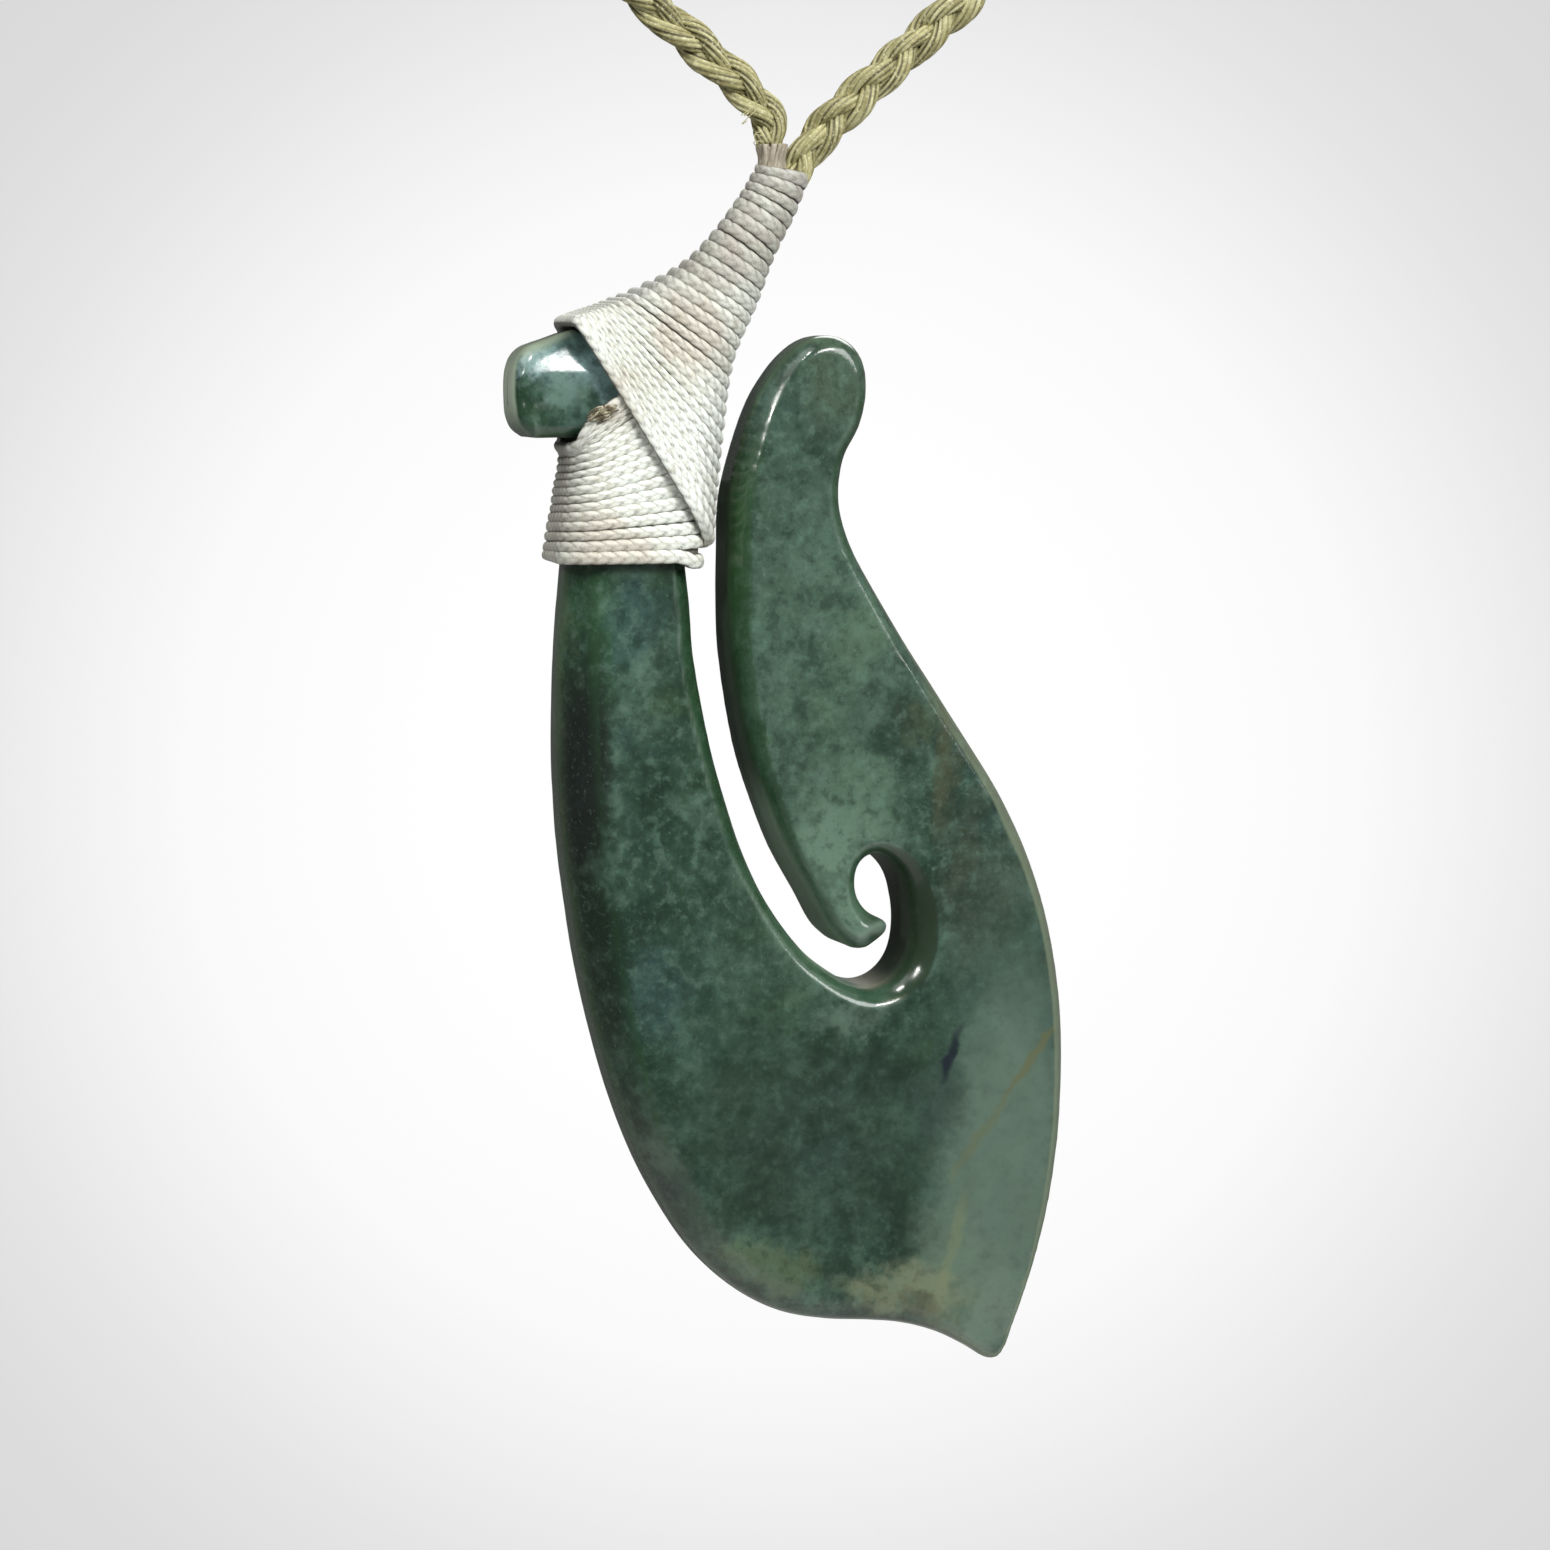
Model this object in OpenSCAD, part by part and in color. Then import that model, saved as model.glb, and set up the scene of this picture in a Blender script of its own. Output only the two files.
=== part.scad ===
// Fish-hook pendant of polished green stone on a plaited neck cord.
// The hook is a carved flat stone with a lashing knob, a long slot, a curled inner spur
// and a leaf-shaped tail. Thread is bound round its shank and up to the two cord legs.
// The origin is the place at the back of the neck where the cord rests.
// The front of the pendant faces -Y, and Z is up. All lengths are in millimetres.

/* [Hook] */
// Height of the hook, from the top of its head to the tip of its tail
hook_h = 82; // [72:1:96]
// Width of the hook, from the end of the knob to the right edge of the leaf
hook_w = 44; // [40:0.5:52]
// Greatest thickness of the stone, at the bend
hook_t = 8.5; // [6.5:0.25:11]
// Thickness at the head, as a share of the greatest thickness
head_thin = 0.62; // [0.5:0.02:0.8]
// Thickness at the tip of the tail, as a share of the greatest thickness
tail_thin = 0.42; // [0.3:0.02:0.7]
// Radius of the rounded edges of the stone
edge_r = 1.6; // [0.8:0.1:2]
// Width of the shank just below the binding
shank_w = 9.6; // [8.4:0.2:11]
// Width of the slot between the shank and the barb
slot_w = 3.2; // [2.6:0.1:4]
// How far the knob stands out past the shank
knob_l = 5.1; // [4:0.1:6.2]
// Height of the knob
knob_h = 8.4; // [7:0.1:9.5]
// Width of the spur between the slot and the eye of the curl
spur_w = 3.8; // [3.3:0.1:4.6]
// Radius of the eye of the curl
eye_r = 2.15; // [1.7:0.05:2.5]

/* [Binding] */
// Thickness of one layer of the binding thread
thread_t = 0.8; // [0.5:0.05:1]
// Distance from one turn of the thread to the next
thread_pitch = 1.08; // [0.8:0.02:1.4]
// Length of the whipping along the outer edge of the shank
whip_l = 10; // [8:0.5:12]
// Length of the bound neck, from the cord legs to the top of the head
neck_l = 12; // [10:0.5:15]
// Diameter of the bound neck at its top
neck_d = 4.4; // [4:0.1:5]

/* [Neck cord] */
// Diameter of the plaited cord
cord_d = 2.9; // [2.4:0.1:3.1]
// Height of the wrapped root under the left leg of the cord
collar_h = 1.7; // [1.2:0.1:2]
// Diameter of the wrapped root
collar_d = 2.6; // [2:0.1:2.7]

/* [Fit] */
// Gap left between pieces that touch on the real pendant
gap = 0.12; // [0.08:0.01:0.2]

/* [Hidden] */
// The point under the cord legs from which the pendant is set out
apex = [-2, -146, -205];

// Samples on each stretch of the stone's outline, and steps round its edges
outline_steps = 3;
edge_steps = 4;
// Slope at which the rounded edge leaves the flat face, in degrees: a crisp arris
arris = 24;

// Height of the thickest place, as a share of the hook's height from the top
bend_at = 0.68;

// Shank and barb, a row for each height.
// down: from the top of the head, in hook heights. left: outer edge, in hook widths.
// shank: width of the shank, in shank widths. slot: width of the slot, in slot widths.
DOWN = 0;
LEFT = 1;
SHANK = 2;
SLOT = 3;
shank_rows = [
    // down, left, shank, slot
    [0.073, -0.382, 1.03, 1.35],
    [0.118, -0.380, 1.01, 0.98],
    [0.166, -0.388, 0.97, 0.92],
    [0.215, -0.397, 0.97, 1.02],
    [0.265, -0.405, 1.03, 0.95],
    [0.310, -0.411, 1.08, 0.94],
    [0.400, -0.414, 1.23, 0.93],
    [0.455, -0.409, 1.34, 0.98],
    [0.500, -0.402, 1.44, 1.06],
    [0.545, -0.391, 1.57, 1.18],
];
// Edge radius along the slot, as a share of the radius of the other edges, and the
// larger share on the first rows of the shank's right edge, which the thread covers
slot_soft = 0.9;
bound_soft = 1.5;
bound_rows = 4;
// The last row of the shank's right edge and of the barb's left edge
last_row = len(shank_rows) - 1;

// Outer edge below the shank rows, round the tail and up to the barb's neck.
// across: in hook widths from the middle. down: in hook heights. soft: edge radius share.
tail_rows = [
    // across, down, soft
    [-0.377, 0.594, 1],
    [-0.336, 0.690, 1],
    [-0.273, 0.788, 1],
    [-0.225, 0.838, 1],
    [-0.164, 0.886, 1],
    [-0.095, 0.920, 1],
    [-0.010, 0.945, 0.95],
    [0.075, 0.954, 0.85],
    [0.150, 0.957, 0.75],
    [0.214, 0.961, 0.65],
    [0.280, 0.971, 0.5],
    [0.340, 0.988, 0.4],
    [0.368, 0.998, 0.3],
    [0.388, 1.000, 0.3],
    [0.404, 0.992, 0.3],
    [0.420, 0.968, 0.45],
    [0.439, 0.938, 0.6],
    [0.465, 0.890, 0.8],
    [0.485, 0.840, 0.95],
    [0.499, 0.780, 1],
    [0.503, 0.720, 1],
    [0.500, 0.660, 1],
    [0.486, 0.600, 1],
    [0.463, 0.547, 1],
    [0.430, 0.497, 1],
    [0.385, 0.448, 1],
    [0.329, 0.400, 1],
    [0.268, 0.350, 1],
    [0.208, 0.300, 1],
    [0.150, 0.248, 0.95],
    [0.108, 0.205, 0.9],
    [0.091, 0.168, 0.85],
    [0.101, 0.126, 0.85],
    [0.129, 0.098, 0.85],
    [0.143, 0.068, 0.85],
    [0.138, 0.036, 0.85],
    [0.111, 0.017, 0.8],
    [0.077, 0.011, 0.8],
    [0.035, 0.015, 0.8],
    [-0.003, 0.030, 0.8],
    [-0.032, 0.049, 0.8],
];

// The row on the right edge of the leaf that is just above the top of the eye
eye_level_row = 25;

// Height of the middle of the eye, in hook heights from the top
eye_down = 0.536;

// Spur and eye, from the slot round the spur's tip to the top of the eye.
// across and up: in eye radii from the middle of the eye. soft: edge radius share.
curl_rows = [
    // across, up, soft
    [-1.99, -1.40, 0.8],
    [-1.60, -1.80, 0.65],
    [-1.16, -2.12, 0.5],
    [-0.66, -2.16, 0.4],
    [-0.20, -1.88, 0.3],
    [0.16, -1.56, 0.18],
    [0.22, -1.28, 0.18],
    [-0.06, -1.08, 0.3],
    [-0.50, -0.86, 0.45],
    [-0.88, -0.37, 0.6],
    [-1.00, 0.18, 0.7],
    [-0.92, 0.70, 0.75],
    [-0.66, 1.10, 0.75],
    [-0.20, 1.25, 0.75],
    [0.36, 0.93, 0.75],
    [0.81, 0.36, 0.8],
    [1.05, -0.45, 0.85],
];
// The row at the top of the eye, where the spur leaves the barb, and the row at its tip
eye_top_row = 13;
spur_tip_row = 5;

// The hollow round the spur's tip, from the eye down to the foot of the slot.
// turn: direction from the spur's tip, in degrees. reach: in slot widths.
tip_across = -0.44;
tip_up = -1.63;
hollow_rows = [
    // turn, reach
    [7, 1.07],
    [-34, 1.12],
    [-63, 1.24],
    [-89, 1.31],
    [-117, 1.30],
    [-145, 1.42],
    [-168, 1.75],
];

// The knob, from its underside round its end to the top of the head.
// out: in knob lengths past the shank. up: in knob heights. soft: edge radius share.
knob_rows = [
    // out, up, soft
    [-0.30, 1.010, 0.6],
    [0.08, 0.975, 0.45],
    [0.47, 0.893, 0.36],
    [0.80, 0.815, 0.32],
    [0.95, 0.700, 0.3],
    [1.01, 0.490, 0.3],
    [1.00, 0.270, 0.3],
    [0.93, 0.090, 0.3],
    [0.78, 0.010, 0.32],
    [0.45, 0.000, 0.4],
    [0.14, -0.002, 0.6],
    [0.02, -0.020, 0.95],
    [-0.03, -0.090, 1],
];
// The row at the middle of the knob's end
knob_end_row = 5;
// Top of the knob below the top of the head, in knob heights
knob_drop = 0.035;
// The shoulder, from the slot side up to the top of the head.
// across: in shank widths from the notch under the knob. up: in knob heights.
shoulder_rows = [
    // across, up, soft
    [1.00, 0.560, 1.4],
    [0.93, 0.800, 1],
    [0.73, 0.980, 0.7],
    [0.45, 1.045, 0.6],
];

// Points of the shell of thread that runs from the neck over the head, a row for each
// turn that is followed. lx, lz: left end, rx, rz: right end, as shares of the way
// from the neck's top to the last turn. wrap: how far the shell follows the stone.
fan_rows = [
    // lx, lz, rx, rz, wrap
    [0.000, 0.000, 0.000, 0.000, 0.00],
    [0.063, 0.123, 0.077, 0.055, 0.00],
    [0.124, 0.242, 0.178, 0.120, 0.03],
    [0.198, 0.375, 0.290, 0.182, 0.08],
    [0.295, 0.530, 0.395, 0.250, 0.18],
    [0.395, 0.650, 0.475, 0.318, 0.36],
    [0.505, 0.740, 0.565, 0.378, 0.58],
    [0.622, 0.812, 0.665, 0.438, 0.80],
    [0.730, 0.868, 0.755, 0.508, 0.92],
    [0.815, 0.912, 0.820, 0.597, 0.98],
    [0.888, 0.946, 0.880, 0.710, 1.00],
    [0.951, 0.975, 0.940, 0.846, 1.00],
    [1.000, 1.000, 1.000, 1.000, 1.00],
];
// The first row whose plane lies over the stone, where the shell becomes hollow
hollow_row = 7.6;
// How far the last turn covers the knob, in knob lengths, how high it stands over it,
// in thread thicknesses, and how far it reaches down the whipping, in whipping lengths
fan_cover = 0.13;
fan_lift = 0.85;
fan_reach = 0.83;
// Middle of the neck's top, from the apex, and how far its left end stands above it,
// in neck diameters
neck_mid = [-0.02, -0.14];
neck_lean = 0.06;
// Number of points round a turn
turn_points = 24;
// Depth of the groove between two turns, in thread thicknesses
groove = 0.25;

// How many thread thicknesses the whipping has, from its foot to its top
whip_layers = [[0, 0.8], [0.1, 1.35], [0.25, 1.3], [0.5, 1.05], [1, 1]];
// How much higher the whipping stands on the slot side, in knob heights
whip_rise = 0.78;
// Room left for the fillet under the knob, in gaps
whip_room = 4;
// How fast the whipping's corners on the slot side grow round from its foot up, and the
// share of the stone's edge radius that clears its arris
whip_round = 2;
whip_hug = 0.75;

// Route of the neck cord, from the right leg at the pendant over the back of the
// neck to the left leg, chosen by hand.
cord_route = [
    [-0.2, -146, -205.1],
    [1.9, -145.8, -201.6],
    [6, -145.4, -197.9],
    [13, -144.6, -191.8],
    [24, -143, -181.5],
    [37, -140, -167],
    [49, -135, -149],
    [60, -127, -127],
    [68, -116, -103],
    [73, -101, -79],
    [74, -83, -56],
    [70, -63, -36],
    [60, -41, -19],
    [43, -20, -7],
    [22, -5, -1],
    [0, 0, 0],
    [-22, -5, -1],
    [-43, -20, -7],
    [-60, -41, -19],
    [-70, -63, -36],
    [-74, -83, -56],
    [-73, -101, -79],
    [-68, -116, -103],
    [-60, -127, -127],
    [-49, -135, -149],
    [-36, -140, -167],
    [-23, -143, -181.5],
    [-12.5, -144.6, -192.2],
    [-6, -145.4, -197.9],
    [-3.1, -145.8, -201.3],
];
cord_sides = 10;
cord_rings = 79;
// Room between the wrapped root and the leg that stands on it, in gaps
root_room = 2;

// Where the wrapped root of the left leg stands, from the apex
collar_at = [-0.9, 0];

function mix(a, b, t) = a + (b - a) * t;
function column(rows, c) = [for (row = rows) [row[DOWN], row[c]]];
function down_to_z(down) = -neck_l - down * hook_h;
function z_to_down(z) = (-z - neck_l) / hook_h;

// Half the thickness of the stone at a height
function half_t(z) = let (s = min(1, max(0, z_to_down(z))))
    hook_t / 2 * (s < bend_at
        ? mix(head_thin, 1, sin(90 * s / bend_at))
        : mix(1, tail_thin, pow((s - bend_at) / (1 - bend_at), 2)));

// Edges of the shank and of the slot at a height
function shank_left(z) = hook_w * lookup(z_to_down(z), column(shank_rows, LEFT));
function shank_right(z) =
    shank_left(z) + shank_w * lookup(z_to_down(z), column(shank_rows, SHANK));
function barb_left(z) =
    shank_right(z) + slot_w * lookup(z_to_down(z), column(shank_rows, SLOT));

eye_z = down_to_z(eye_down);
eye_x = barb_left(eye_z) + spur_w + eye_r;
notch_x = hook_w * shank_rows[1][LEFT];
knob_z = down_to_z(0) - (1 + knob_drop) * knob_h;

// Outline of the stone as points [x, z, soft], anticlockwise seen from the front
outline_knots = concat(
    [for (row = knob_rows)
        [notch_x - row[0] * knob_l, knob_z + row[1] * knob_h, row[2]]],
    [for (i = [2:last_row]) let (z = down_to_z(shank_rows[i][DOWN]))
        [shank_left(z), z, 1]],
    [for (row = tail_rows) [hook_w * row[0], down_to_z(row[1]), row[2]]],
    [for (i = [0:last_row]) let (z = down_to_z(shank_rows[i][DOWN]))
        [barb_left(z), z, slot_soft]],
    [for (row = curl_rows) [eye_x + row[0] * eye_r, eye_z + row[1] * eye_r, row[2]]],
    [for (row = hollow_rows)
        [eye_x + tip_across * eye_r + row[1] * slot_w * cos(row[0]),
         eye_z + tip_up * eye_r + row[1] * slot_w * sin(row[0]), slot_soft]],
    [for (i = [last_row:-1:0]) let (z = down_to_z(shank_rows[i][DOWN]))
        [shank_right(z), z, i < bound_rows ? bound_soft : slot_soft]],
    [for (row = shoulder_rows)
        [notch_x + row[0] * shank_w, knob_z + row[1] * knob_h, row[2]]]
);

// Curve through a list of points, with more room where the points lie far apart
function knot(a, b) = sqrt(norm([b[0] - a[0], b[1] - a[1]]));
function knot3(a, b) = sqrt(norm(b - a));
function bend(p0, p1, p2, p3, k01, k12, k23, u) = let (
        t1 = k01,
        t2 = t1 + k12,
        t3 = t2 + k23,
        t = mix(t1, t2, u),
        a1 = mix(p0, p1, t / t1),
        a2 = mix(p1, p2, (t - t1) / k12),
        a3 = mix(p2, p3, (t - t2) / k23),
        b1 = mix(a1, a2, t / t2),
        b2 = mix(a2, a3, (t - t1) / (t3 - t1))
    ) mix(b1, b2, (t - t1) / k12);
function closed_curve(p, steps) = let (n = len(p)) [
    for (i = [0:n - 1], k = [0:steps - 1])
        let (a = p[(i + n - 1) % n], b = p[i], c = p[(i + 1) % n], d = p[(i + 2) % n])
        bend(a, b, c, d, knot(a, b), knot(b, c), knot(c, d), k / steps)
];

outline = closed_curve(outline_knots, outline_steps);
outline_n = len(outline);

// Direction into the stone at a point of the outline
function inward(i) = let (
        a = outline[(i + outline_n - 1) % outline_n],
        b = outline[(i + 1) % outline_n],
        way = [b[0] - a[0], b[1] - a[1]]
    ) [-way[1], way[0]] / norm(way);

// One ring round the stone, share being 0 at the side wall and 1 at the flat face
function stone_ring(share, side) = let (top = 90 - arris, turn = top * share) [
    for (i = [0:outline_n - 1]) let (
        p = outline[i],
        r = edge_r * p[2],
        h = half_t(p[1]),
        d = inward(i) * r * (1 - cos(turn))
    ) [p[0] + d[0], side * (h - r * (sin(top) - sin(turn))), p[1] + d[1]]
];
stone_rings = concat(
    [for (k = [edge_steps:-1:0]) stone_ring(k / edge_steps, -1)],
    [for (k = [0:edge_steps]) stone_ring(k / edge_steps, 1)]
);

// Faces between rings that have the same number of points
function band_faces(rings, n) = [
    for (r = [0:rings - 2], i = [0:n - 1]) let (
        a = r * n + i,
        b = r * n + (i + 1) % n
    ) each [[a, b, b + n], [a, b + n, a + n]]
];
// Triangles between two rails of points, closing the shorter diagonal each time
function zip_rails(a, b, pts, i = 0, j = 0, out = []) =
    i == len(a) - 1 && j == len(b) - 1 ? out :
    j == len(b) - 1 || (i < len(a) - 1 && norm(pts[a[i + 1]] - pts[b[j]]) < norm(pts[a[i]] - pts[b[j + 1]]))
        ? zip_rails(a, b, pts, i + 1, j, concat(out, [[a[i], a[i + 1], b[j]]]))
        : zip_rails(a, b, pts, i, j + 1, concat(out, [[a[i], b[j + 1], b[j]]]));

// Places on the outline where its stretches meet, as sample numbers
knob_end = knob_end_row * outline_steps;
tail_start = len(knob_rows) + last_row - 1;
barb_end = (tail_start + len(tail_rows) - 4) * outline_steps;
curl_start = tail_start + len(tail_rows) + last_row + 1;
spur_root = (curl_start - 2) * outline_steps;
spur_tip = (curl_start + spur_tip_row) * outline_steps;
eye_top = (curl_start + eye_top_row) * outline_steps;
eye_level = (tail_start + eye_level_row) * outline_steps;

// The flat face in four parts: shank and leaf, a joint over the eye, barb and spur
function face_triangles(pts) = concat(
    zip_rails([for (i = [knob_end:eye_level]) i],
        [for (i = [knob_end - 1 + outline_n:-1:eye_top]) i % outline_n], pts),
    [[eye_level, spur_root, eye_top]],
    zip_rails([for (i = [eye_level:barb_end]) i], [for (i = [spur_root:-1:barb_end + 1]) i], pts),
    zip_rails([for (i = [spur_root:spur_tip]) i], [for (i = [eye_top:-1:spur_tip + 1]) i], pts)
);

module hook() {
    front = stone_rings[0];
    back_at = (len(stone_rings) - 1) * outline_n;
    caps = face_triangles(front);
    color([0.25, 0.37, 0.31])
        translate(apex)
        polyhedron(
            points = [for (ring = stone_rings) each ring],
            faces = concat(
                band_faces(len(stone_rings), outline_n),
                [for (f = caps) [f[0], f[2], f[1]]],
                [for (f = caps) f + [back_at, back_at, back_at]]
            )
        );
}

// Rounded loop in the plane of one turn, from a left end to a right end on the front
// plane. deep and corner hold its half depth and its corner radius at either end.
function turn_loop(left, right, deep, corner) = let (
        mid = (left + right) / 2,
        span = norm(right - left) / 2,
        way = (right - left) / norm(right - left),
        quarter = turn_points / 4
    ) [
    for (q = [0:3], k = [0:quarter - 1]) let (
        end = q == 0 || q == 3 ? 1 : 0,
        face = q < 2 ? 1 : -1,
        c = min(corner[end], deep[end], span),
        a = 90 * (q + (k + 0.5) / quarter),
        u = (2 * end - 1) * (span - c) + c * cos(a),
        v = face * (deep[end] - c) + c * sin(a)
    ) [mid[0] + way[0] * u, v, mid[1] + way[1] * u]
];

// Closed solid skinned over rings with a cap at each end. Seen the way the rings
// follow each other, the points of a ring run clockwise.
module skin(rings) {
    n = len(rings[0]);
    last = (len(rings) - 1) * n;
    polyhedron(
        points = [for (ring = rings) each ring],
        faces = concat(
            band_faces(len(rings), n),
            [[for (i = [n - 1:-1:0]) i]],
            [[for (i = [0:n - 1]) last + i]]
        )
    );
}

// Sleeve between outer and inner rings that meet at both ends, from its top down
module sleeve(outer, inner) {
    n = len(outer[0]);
    rings = concat(outer, [for (i = [len(inner) - 1:-1:0]) inner[i]]);
    last = (len(rings) - 1) * n;
    polyhedron(
        points = [for (ring = rings) each ring],
        faces = concat(
            band_faces(len(rings), n),
            [for (i = [0:n - 1]) let (j = (i + 1) % n) each [
                [last + i, last + j, j],
                [last + i, j, i]
            ]]
        )
    );
}

// The whipping: level turns at its foot that tilt up to the slot side at its top
whip_top = knob_z - whip_room * gap;
whip_turns = floor(whip_l / thread_pitch);
function whip_ring(s, ridge, inside) = let (
        rise = whip_rise * knob_h * s * s,
        z_l = whip_top - whip_l * (1 - s),
        z_r = z_l + rise,
        off = gap + (inside ? 0 : thread_t * (lookup(s, whip_layers) - ridge)),
        left = [shank_left(z_l), z_l],
        right = [shank_right(z_r), z_r],
        way = (right - left) / norm(right - left),
        deep = [half_t(z_l) + off, half_t(z_r) + off],
        right_soft = mix(slot_soft, bound_soft, min(1, whip_round * s)),
        corner = [for (soft = [1, right_soft]) whip_hug * edge_r * soft + off]
    ) turn_loop(left - way * off, right + way * off, deep, corner);

module shank_whipping() {
    rings = 2 * whip_turns;
    color([0.80, 0.79, 0.76])
        translate(apex)
        sleeve(
            [for (i = [rings:-1:0]) whip_ring(i / rings, i % 2 == 0 ? groove : 0, false)],
            [for (i = [rings:-2:0]) whip_ring(i / rings, 0, true)]
        );
}

// Ends of the shell of thread: the neck's top, and the last turn on the stone
neck_left = neck_d * (neck_mid + [-1 / 2, neck_lean]);
neck_right = neck_d * (neck_mid + [1 / 2, -neck_lean]);
fan_foot_z = whip_top - fan_reach * whip_l;
fan_left = [notch_x - fan_cover * knob_l, knob_z + knob_h + gap + fan_lift * thread_t];
fan_right = [shank_right(fan_foot_z) + 2 * (gap + thread_t), fan_foot_z];
fan_turns = floor(norm(fan_right - neck_right) / thread_pitch);
function fan_row(t) = let (
        n = len(fan_rows) - 1,
        i = min(n - 1, floor(t)),
        a = fan_rows[max(0, i - 1)],
        b = fan_rows[i],
        c = fan_rows[i + 1],
        d = fan_rows[min(n, i + 2)],
        u = t - i
    ) b + (c - a) / 2 * u + (a - 2.5 * b + 2 * c - d / 2) * u * u + (1.5 * (b - c) + (d - a) / 2) * u * u * u;
function fan_ring(t, off) = let (
        row = fan_row(t),
        left = [mix(neck_left[0], fan_left[0], row[0]), mix(neck_left[1], fan_left[1], row[1])],
        right = [mix(neck_right[0], fan_right[0], row[2]), mix(neck_right[1], fan_right[1], row[3])],
        way = (right - left) / norm(right - left),
        cover = 2 * (gap + thread_t),
        deep = [for (end = [left, right]) mix(neck_d / 2, half_t(end[1]) + cover, row[4]) + off],
        corner = [for (inner = [edge_r / 2 + thread_t, bound_soft * edge_r + cover])
            mix(neck_d / 2, inner, row[4]) + off]
    ) turn_loop(left - way * off, right + way * off, deep, corner);

module neck_whipping() {
    foot = len(fan_rows) - 1;
    rings = 2 * fan_turns;
    inner = 8;
    color([0.78, 0.77, 0.74])
        translate(apex)
        skin(concat(
            [for (i = [0:rings]) fan_ring(foot * i / rings, -(i % 2 == 0 ? groove : 0) * thread_t)],
            [for (i = [inner:-1:0]) fan_ring(mix(hollow_row, foot, i / inner), -thread_t)]
        ));
}

// The wrapped root on which the left leg of the cord stands
collar_z = neck_left[1] + gap;
module leg_collar() {
    color([0.55, 0.50, 0.44])
        translate(apex + [collar_at[0], collar_at[1], collar_z])
        cylinder(h = collar_h, d = collar_d, $fn = 32);
}

// The cord follows its route with a ring square to the way it goes
function open_curve(p, t) = let (
        n = len(p) - 1,
        i = min(n - 1, floor(t)),
        b = p[i],
        c = p[i + 1],
        a = i > 0 ? p[i - 1] : 2 * b - c,
        d = i < n - 1 ? p[i + 2] : 2 * c - b
    ) bend(a, b, c, d, knot3(a, b), knot3(b, c), knot3(c, d), t - i);
module neck_cord() {
    route = concat(cord_route,
        [apex + [collar_at[0], collar_at[1], collar_z + collar_h + root_room * gap]]);
    last = len(route) - 1;
    centres = [for (k = [0:cord_rings]) open_curve(route, last * k / cord_rings)];
    rings = [
        for (k = [0:cord_rings]) let (
            way = centres[min(cord_rings, k + 1)] - centres[max(0, k - 1)],
            out = cross(way, [0, 1, 0]),
            u = out / norm(out),
            v = cross(u, way) / norm(way)
        ) [for (i = [0:cord_sides - 1]) let (a = 360 * i / cord_sides)
            centres[k] + cord_d / 2 * (cos(a) * u + sin(a) * v)]
    ];
    color([0.68, 0.64, 0.46]) skin(rings);
}

hook();
shank_whipping();
neck_whipping();
leg_collar();
neck_cord();
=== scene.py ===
"""Looks for the hook pendant: polished green stone, bound thread and a plaited neck cord.

Shapes are worked out in millimetres, measured from the point under the cord legs as in the
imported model, and turned into metres in the row frame when a mesh is made.
"""

import math
import random

import bmesh
import bpy
import numpy as np
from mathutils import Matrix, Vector, noise
from mathutils.bvhtree import BVHTree
from mathutils.kdtree import KDTree


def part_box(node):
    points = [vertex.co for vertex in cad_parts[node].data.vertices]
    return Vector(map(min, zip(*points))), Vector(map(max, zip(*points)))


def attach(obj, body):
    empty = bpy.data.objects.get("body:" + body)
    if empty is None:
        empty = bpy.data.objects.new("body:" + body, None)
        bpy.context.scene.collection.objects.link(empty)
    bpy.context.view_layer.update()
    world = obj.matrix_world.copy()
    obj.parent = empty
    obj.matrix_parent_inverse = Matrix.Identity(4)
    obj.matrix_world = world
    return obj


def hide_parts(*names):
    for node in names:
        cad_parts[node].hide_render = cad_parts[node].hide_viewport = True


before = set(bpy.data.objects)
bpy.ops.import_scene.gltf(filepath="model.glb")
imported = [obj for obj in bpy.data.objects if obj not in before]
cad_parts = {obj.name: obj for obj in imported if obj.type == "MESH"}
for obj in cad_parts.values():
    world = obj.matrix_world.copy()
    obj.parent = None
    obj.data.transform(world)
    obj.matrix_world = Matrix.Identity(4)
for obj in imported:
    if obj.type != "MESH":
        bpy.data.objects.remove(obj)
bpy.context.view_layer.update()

MM = 0.001
APEX = np.array([-2.0, -146.0, -205.0])
DEPTH = np.array([0.0, 1.0, 0.0])


# Node trees and materials


def srgb(red, green, blue):
    """A colour given from 0 to 255, as the linear values that nodes take."""
    shares = [c / 255 for c in (red, green, blue)]
    linear = [c / 12.92 if c <= 0.04045 else ((c + 0.055) / 1.055) ** 2.4 for c in shares]
    return (*linear, 1.0)


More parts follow.
